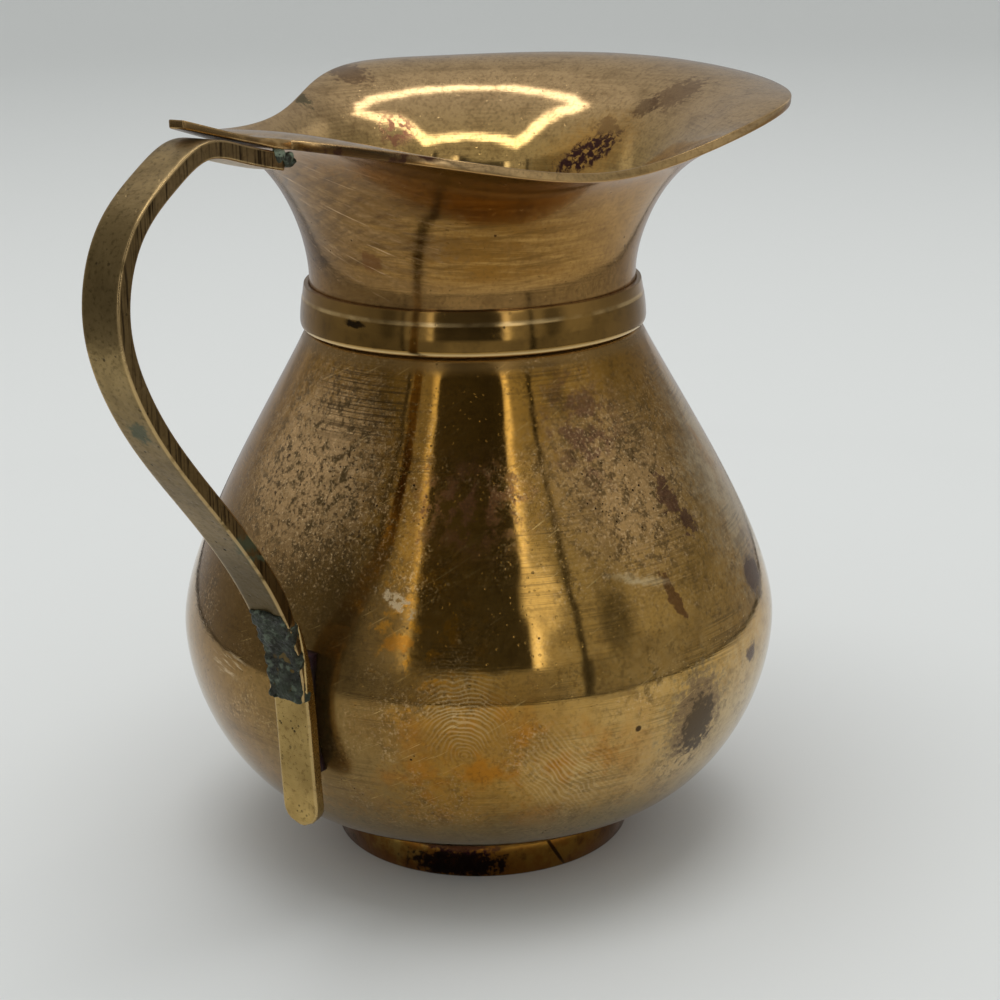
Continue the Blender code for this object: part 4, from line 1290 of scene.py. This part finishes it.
# %% Braze finish
finish = start_finish("braze_with_verdigris", "#222212", 0.42, metal=0.3)
lay(finish, cloud(finish, 2.6, 0.42, 0.6, detail=8, strength=0.85), tint="#2B331E", rough=0.55,
    metal=0.05)
lay(finish, cloud(finish, 0.9, 0.52, 0.66, detail=8, strength=0.6, shift=0.2), tint="#6A7560",
    rough=0.65, metal=0.0)
lay(finish, cloud(finish, 1.7, 0.62, 0.7, detail=7, strength=0.7, shift=0.9), tint="#5E4C2A",
    rough=0.35, metal=0.85)
lay(finish, cloud(finish, 1.2, 0.56, 0.68, detail=7, strength=0.9, shift=0.5), tint="#12100B",
    rough=0.35)
palest = combine(finish, stain(finish, 180, 41, 94, 8, 3, soft=0.4),
                 cloud(finish, 0.9, 0.45, 0.55, detail=6))
lay(finish, palest, tint="#8C9A82", rough=0.6, metal=0.0)
lumps = cloud(finish, 1.2, 0.2, 0.8, detail=3)
grains = cloud(finish, 0.4, 0.2, 0.8, detail=6)
dress(finish, surface_bump(finish, (lumps, 0.25), (grains, 0.08)), lap_crust, rim_crust)

# %% [markdown]
# ## Tarnished solder
#
# Old tin-lead solder is a soft grey metal that turns nearly black, with a violet cast. It
# lies deep in corners, so dust makes it matt.

# %% Solder finish
finish = start_finish("tarnished_solder", "#241815", 0.5, metal=0.35)
lay(finish, cloud(finish, 2, 0.42, 0.6, detail=7), tint="#351C26", rough=0.45)
lay(finish, cloud(finish, 1.4, 0.58, 0.7, detail=7, shift=0.2), tint="#3F3B2C", rough=0.7,
    metal=0.0)
dress(finish, surface_bump(finish, (cloud(finish, 0.8, 0.2, 0.8, detail=6), 0.15)), tail_fill,
      foot_solder)

# %% [markdown]
# ## The studio
#
# The jug stands on a pale sheet that runs up behind it, inside a white light tent about
# 40 cm wide. Polished metal shows all of that tent, so the tent matters as much as the
# brass: its front opening is the tall dark shape on the belly, the lit panels beside it are
# the bright strips, and the ring lamp above makes the bright frame inside the funnel.
#
# The sheet could be a flat plane, but then a line would show where it ends. It is turned
# instead, flat under the jug and with a round rise far out, and its faces look up. It is
# matt paper, so its roughness is near 1 and it has hardly any gloss of its own.

# %% Pale sheet
def stage_material(name, colour):
    """Plain matt surface for the pale sheet."""
    material = bpy.data.materials.new(name)
    material.use_nodes = True
    shader = material.node_tree.nodes["Principled BSDF"]
    shader.inputs["Base Color"].default_value = linear(colour)
    shader.inputs["Roughness"].default_value = 0.9
    shader.inputs["Specular IOR Level"].default_value = 0.1
    return material


def add_stage(name, form, material):
    """Put a bmesh into the scene as a part of the studio, centred on the jug's axis."""
    bmesh.ops.translate(form, vec=(AXIS_X, 0, 0), verts=form.verts)
    mesh = bpy.data.meshes.new(name)
    form.to_mesh(mesh)
    form.free()
    mesh.shade_smooth()
    mesh.materials.append(material)
    thing = bpy.data.objects.new(name, mesh)
    bpy.context.collection.objects.link(thing)
    thing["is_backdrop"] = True
    print(f"{name}: {len(mesh.polygons)} faces, part of the studio")
    return thing


FLAT_RADIUS = 1.1
RISE_OUT, RISE_UP = 0.5, 0.6
rise = bezier((FLAT_RADIUS, 0), (FLAT_RADIUS + 0.7 * RISE_OUT, 0),
              (FLAT_RADIUS + RISE_OUT, 0.25 * RISE_UP), (FLAT_RADIUS + RISE_OUT, RISE_UP), 16)
form = turn([(0, 0), (0.3, 0), (0.7, 0), *rise], 96, closed=False)
for face in form.faces:
    if face.normal.z < 0:
        face.normal_flip()
add_stage("pale_sheet", form, stage_material("pale_paper", "#D8DAD9"))

# %% [markdown]
# The tent is only there for reflections: the camera, the shadows and the floor don't see
# it. Its wall and its top glow, and how strongly depends on the place on the cloth, with
# directions round the jug counted from the camera's side. Two small functions start and
# end such a glowing material.

# %% Tent cloth
CAMERA_PLACE = Vector((-0.2104739, -0.137779, 0.12419))
camera_angle = math.atan2(CAMERA_PLACE.y, CAMERA_PLACE.x - AXIS_X)
TENT_RADIUS = 0.2
TENT_HEIGHT = 0.32


def start_glow(name):
    """New empty material, its plain coordinates, and those turned toward the camera's side."""
    material = bpy.data.materials.new(name)
    material.use_nodes = True
    tree = material.node_tree
    tree.nodes.clear()
    place = add_node(tree, "ShaderNodeTexCoord").outputs["Object"]
    around = add_node(tree, "ShaderNodeMapping", {
        "Vector": place, "Location": (AXIS_X, 0, 0), "Rotation": (0, 0, camera_angle)},
        vector_type="TEXTURE").outputs[0]
    return material, place, around


def hang(name, form, material, glow):
    """Let the cloth glow, hang it in the studio, and hide it from all but mirror reflections."""
    light = add_node(material.node_tree, "ShaderNodeEmission", {"Color": glow})
    add_node(material.node_tree, "ShaderNodeOutputMaterial", {"Surface": light.outputs[0]})
    cloth = add_stage(name, form, material)
    cloth.visible_camera = False
    cloth.visible_diffuse = False
    cloth.visible_transmission = False
    cloth.visible_shadow = False
    cloth.visible_volume_scatter = False


def grey(level):
    """Linear grey of one level."""
    return (level, level, level, 1.0)


cloth, place, around = start_glow("tent_cloth")
tree = cloth.node_tree
print(f"Camera's side of the jug: {math.degrees(camera_angle):.0f} degrees")

# %% [markdown]
# The wall's pattern is a ramp over the direction, as if the tent were unrolled. High up and
# low down it shows other things, so there are two ramps, with a soft change at the height
# of the jug's shoulder. A level of 1 is as bright as white paper, and the lit panels are
# brighter. The lowest level straight ahead is the tent's dark opening.

# %% Levels round the tent's wall
# Pairs of direction from the camera's side, in degrees, and level.
HIGH_LEVELS = (
    (-180, 0.3), (-90, 0.3), (-60, 0.18), (-46.4, 0.26), (-45.8, 0.06), (-43.6, 0.06), (-43, 0.4),
    (-31, 0.42), (-28.6, 0.46), (-27.8, 1.5), (-25.2, 1.5), (-24.4, 0.6), (-24, 0.08), (-8, 0.07),
    (8, 0.045), (18, 0.055), (18.4, 2.0), (21.4, 2.0), (23, 0.6), (30, 0.46), (34.7, 0.42),
    (35.1, 0.04), (37.5, 0.04), (37.9, 0.44), (44, 0.42), (50, 0.36), (56, 0.3), (62, 0.45),
    (75, 0.42), (95, 0.26), (130, 0.26), (180, 0.3),
)
LOW_LEVELS = (
    (-180, 0.4), (-150, 0.42), (-100, 0.25), (-60, 0.18), (-46.4, 0.22), (-45.8, 0.06),
    (-43.6, 0.06), (-43, 0.25), (-24, 0.28), (-14, 0.38), (0, 0.38), (14, 0.36), (28, 0.32),
    (34.5, 0.42), (34.9, 0.03), (37.9, 0.03), (38.3, 0.4), (40, 0.28), (60, 0.32), (90, 0.32),
    (120, 0.3), (150, 0.5), (180, 0.45),
)


def ring_stops(levels):
    """Turn pairs of direction and level into stops of a colour ramp."""
    return [(0.5 + degrees / 360, grey(level)) for degrees, level in levels]


turned_by = add_node(tree, "ShaderNodeTexGradient", {"Vector": around},
                     gradient_type="RADIAL").outputs[1]
high = add_node(tree, "ShaderNodeValToRGB", {0: turned_by}, stops=ring_stops(HIGH_LEVELS))
low = add_node(tree, "ShaderNodeValToRGB", {0: turned_by}, stops=ring_stops(LOW_LEVELS))
height = add_node(tree, "ShaderNodeSeparateXYZ", {0: place}).outputs["Z"]
climb = add_node(tree, "ShaderNodeMapRange", {
    "Value": height, "From Min": 58 * MM, "From Max": 68 * MM}, interpolation_type="SMOOTHSTEP")
glow = add_node(tree, "ShaderNodeMix", {
    0: climb.outputs[0], 6: low.outputs[0], 7: high.outputs[0]}, data_type="RGBA").outputs[2]
print("Stops round the wall:", len(HIGH_LEVELS), "high up and", len(LOW_LEVELS), "low down")

# %% [markdown]
# Single soft patches, lit or dark, are laid over that, each at a direction and a height. The
# lowest five millimetres of the cloth are dark, which draws a thin dark line between the
# mirrored floor and the mirrored wall. The wall itself is a turned cylinder.

# %% Patches and hem of the tent's wall
# Direction, height, width in degrees, half its height in millimetres, and level.
PATCHES = (
    (24, 130, 9, 30, 1.35), (-31, 148, 5, 34, 0.7), (50, 88, 7, 34, 0.16), (-54, 95, 7, 45, 0.1),
    (138, 170, 10, 90, 0.55), (-132, 170, 7, 90, 0.5),
)
for toward, up, wide, tall, level in PATCHES:
    angle = math.radians(toward)
    patch = add_node(tree, "ShaderNodeMapping", {
        "Vector": around, "Rotation": (0, 0, angle),
        "Scale": (3 * tall * MM, math.radians(wide) * TENT_RADIUS, tall * MM),
        "Location": (TENT_RADIUS * math.cos(angle), TENT_RADIUS * math.sin(angle), up * MM)},
        vector_type="TEXTURE")
    far = add_node(tree, "ShaderNodeVectorMath", {0: patch.outputs[0]}, operation="LENGTH")
    near = add_node(tree, "ShaderNodeMapRange", {
        "Value": far.outputs["Value"], "From Min": 1.2, "From Max": 0.5},
        interpolation_type="SMOOTHSTEP")
    glow = add_node(tree, "ShaderNodeMix", {0: near.outputs[0], 6: glow, 7: grey(level)},
                    data_type="RGBA").outputs[2]
hem = add_node(tree, "ShaderNodeMapRange", {
    "Value": height, "From Min": 4.5 * MM, "From Max": 5.5 * MM}, interpolation_type="SMOOTHSTEP")
glow = add_node(tree, "ShaderNodeMix", {0: hem.outputs[0], 6: grey(0.04), 7: glow},
                data_type="RGBA").outputs[2]
form = turn([(TENT_RADIUS, 0), (TENT_RADIUS, TENT_HEIGHT / 2), (TENT_RADIUS, TENT_HEIGHT)], 96,
            closed=False)
hang("tent_wall", form, cloth, glow)

# %% [markdown]
# The tent's top is a disc. The ring lamp is drawn on it as the space between two
# rectangles, because that is what the funnel mirrors.

# %% Tent top with the ring lamp
LAMP_OUTSIDE = ((-86, -100), (128, 138))
LAMP_INSIDE = ((-60, -76), (98, 112))
LAMP_SOFTNESS = 6 * MM
CLOTH_LEVEL, LAMP_LEVEL = 0.4, 3.4

cloth, place, around = start_glow("tent_top")
tree = cloth.node_tree
parts = add_node(tree, "ShaderNodeSeparateXYZ", {0: around})


def rectangle(low, high):
    """Mask that is 1 between two corners, in millimetres toward the camera and to the right."""
    sides = []
    for axis in (0, 1):
        middle = (low[axis] + high[axis]) / 2 * MM
        half = (high[axis] - low[axis]) / 2 * MM
        off = add_node(tree, "ShaderNodeMath", {0: parts.outputs[axis], 1: middle},
                       operation="SUBTRACT")
        far = add_node(tree, "ShaderNodeMath", {0: off.outputs[0]}, operation="ABSOLUTE")
        sides.append(add_node(tree, "ShaderNodeMapRange", {
            "Value": far.outputs[0], "From Min": half + LAMP_SOFTNESS,
            "From Max": half - LAMP_SOFTNESS}, interpolation_type="SMOOTHSTEP").outputs[0])
    return add_node(tree, "ShaderNodeMath", {0: sides[0], 1: sides[1]},
                    operation="MULTIPLY").outputs[0]


ring = add_node(tree, "ShaderNodeMath", {0: rectangle(*LAMP_OUTSIDE), 1: rectangle(*LAMP_INSIDE)},
                operation="SUBTRACT", use_clamp=True)
glow = add_node(tree, "ShaderNodeMix", {
    0: ring.outputs[0], 6: grey(CLOTH_LEVEL), 7: grey(LAMP_LEVEL)}, data_type="RGBA").outputs[2]
form = bmesh.new()
bmesh.ops.create_circle(form, cap_ends=True, cap_tris=True, segments=96, radius=TENT_RADIUS)
bmesh.ops.translate(form, vec=(0, 0, TENT_HEIGHT), verts=form.verts)
hang("tent_top", form, cloth, glow)

# %% [markdown]
# ## Light
#
# The room itself is bright and even, and one soft lamp above the jug gives its shadow. Both
# are kept at a level at which a colour renders about as it is written. The lamp stays out
# of the reflections, because the tent already has one drawn on it.

# %% Lamp and world
ROOM_LEVEL = 0.72
LAMP_WATTS = 4.0
LAMP_SIDE, LAMP_HEIGHT = 0.7, 0.9

world = bpy.data.worlds.new("even_room")
bpy.context.scene.world = world
world.use_nodes = True
background = world.node_tree.nodes["Background"]
background.inputs["Color"].default_value = linear("#F5F6F5")
background.inputs["Strength"].default_value = ROOM_LEVEL

lamp_data = bpy.data.lights.new("soft_box", "AREA")
lamp_data.shape = "SQUARE"
lamp_data.size = LAMP_SIDE
lamp_data.energy = LAMP_WATTS
lamp = bpy.data.objects.new("soft_box", lamp_data)
lamp.location = (AXIS_X, 0, LAMP_HEIGHT)
lamp.visible_glossy = False
bpy.context.collection.objects.link(lamp)
print(f"Room at {ROOM_LEVEL} of white, lamp {LAMP_HEIGHT} m above the floor")

# %% [markdown]
# ## Camera
#
# The camera looks down by about 17 degrees from 28 cm away, with the focal length that the
# jug's outline in the photograph asks for. A focal length in pixels, divided by the width
# of the photograph and multiplied by the sensor's width, is the lens in millimetres. Pitch,
# yaw and roll were fitted to the outline too. The heading then turns the whole view round
# the upright axis, and everything is sharp from front to back.

# %% Camera
PITCH, YAW, ROLL = 0.29988478, 0.01137755, -0.01646053
HEADING = math.radians(-58)
FOCAL_PIXELS, PHOTO_PIXELS = 2114.915, 1000
SENSOR = 36

ahead = Vector((math.sin(YAW) * math.cos(PITCH), math.cos(YAW) * math.cos(PITCH), -math.sin(PITCH)))
level = Vector((math.cos(YAW), -math.sin(YAW), 0))
upright = level.cross(ahead)
right = math.cos(ROLL) * level + math.sin(ROLL) * upright
up = math.cos(ROLL) * upright - math.sin(ROLL) * level
heading = Matrix.Rotation(HEADING, 3, "Z")
columns = Matrix((heading @ right, heading @ up, heading @ -ahead)).transposed()

camera_data = bpy.data.cameras.new("camera")
camera_data.sensor_width = SENSOR
camera_data.sensor_height = SENSOR
camera_data.lens = SENSOR * FOCAL_PIXELS / PHOTO_PIXELS
camera_data.clip_start = 0.01
camera_data.clip_end = 10
camera = bpy.data.objects.new("camera", camera_data)
camera.matrix_world = Matrix.Translation(CAMERA_PLACE) @ columns.to_4x4()
bpy.context.collection.objects.link(camera)
bpy.context.scene.camera = camera
bpy.context.scene.view_settings.view_transform = "Standard"
away = (CAMERA_PLACE - Vector((AXIS_X, 0, BELLY[1]))).length
print(f"Camera: {camera_data.lens:.1f} mm lens, {away:.2f} m from the middle of the belly")

sizes = {"cad": [list(corner) for corner in CAD_BOX],
         "dressed": [list(corner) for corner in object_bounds()]}
for name, (low_corner, high_corner) in sizes.items():
    print(name, [round((b - a) / MM, 2) for a, b in zip(low_corner, high_corner)])
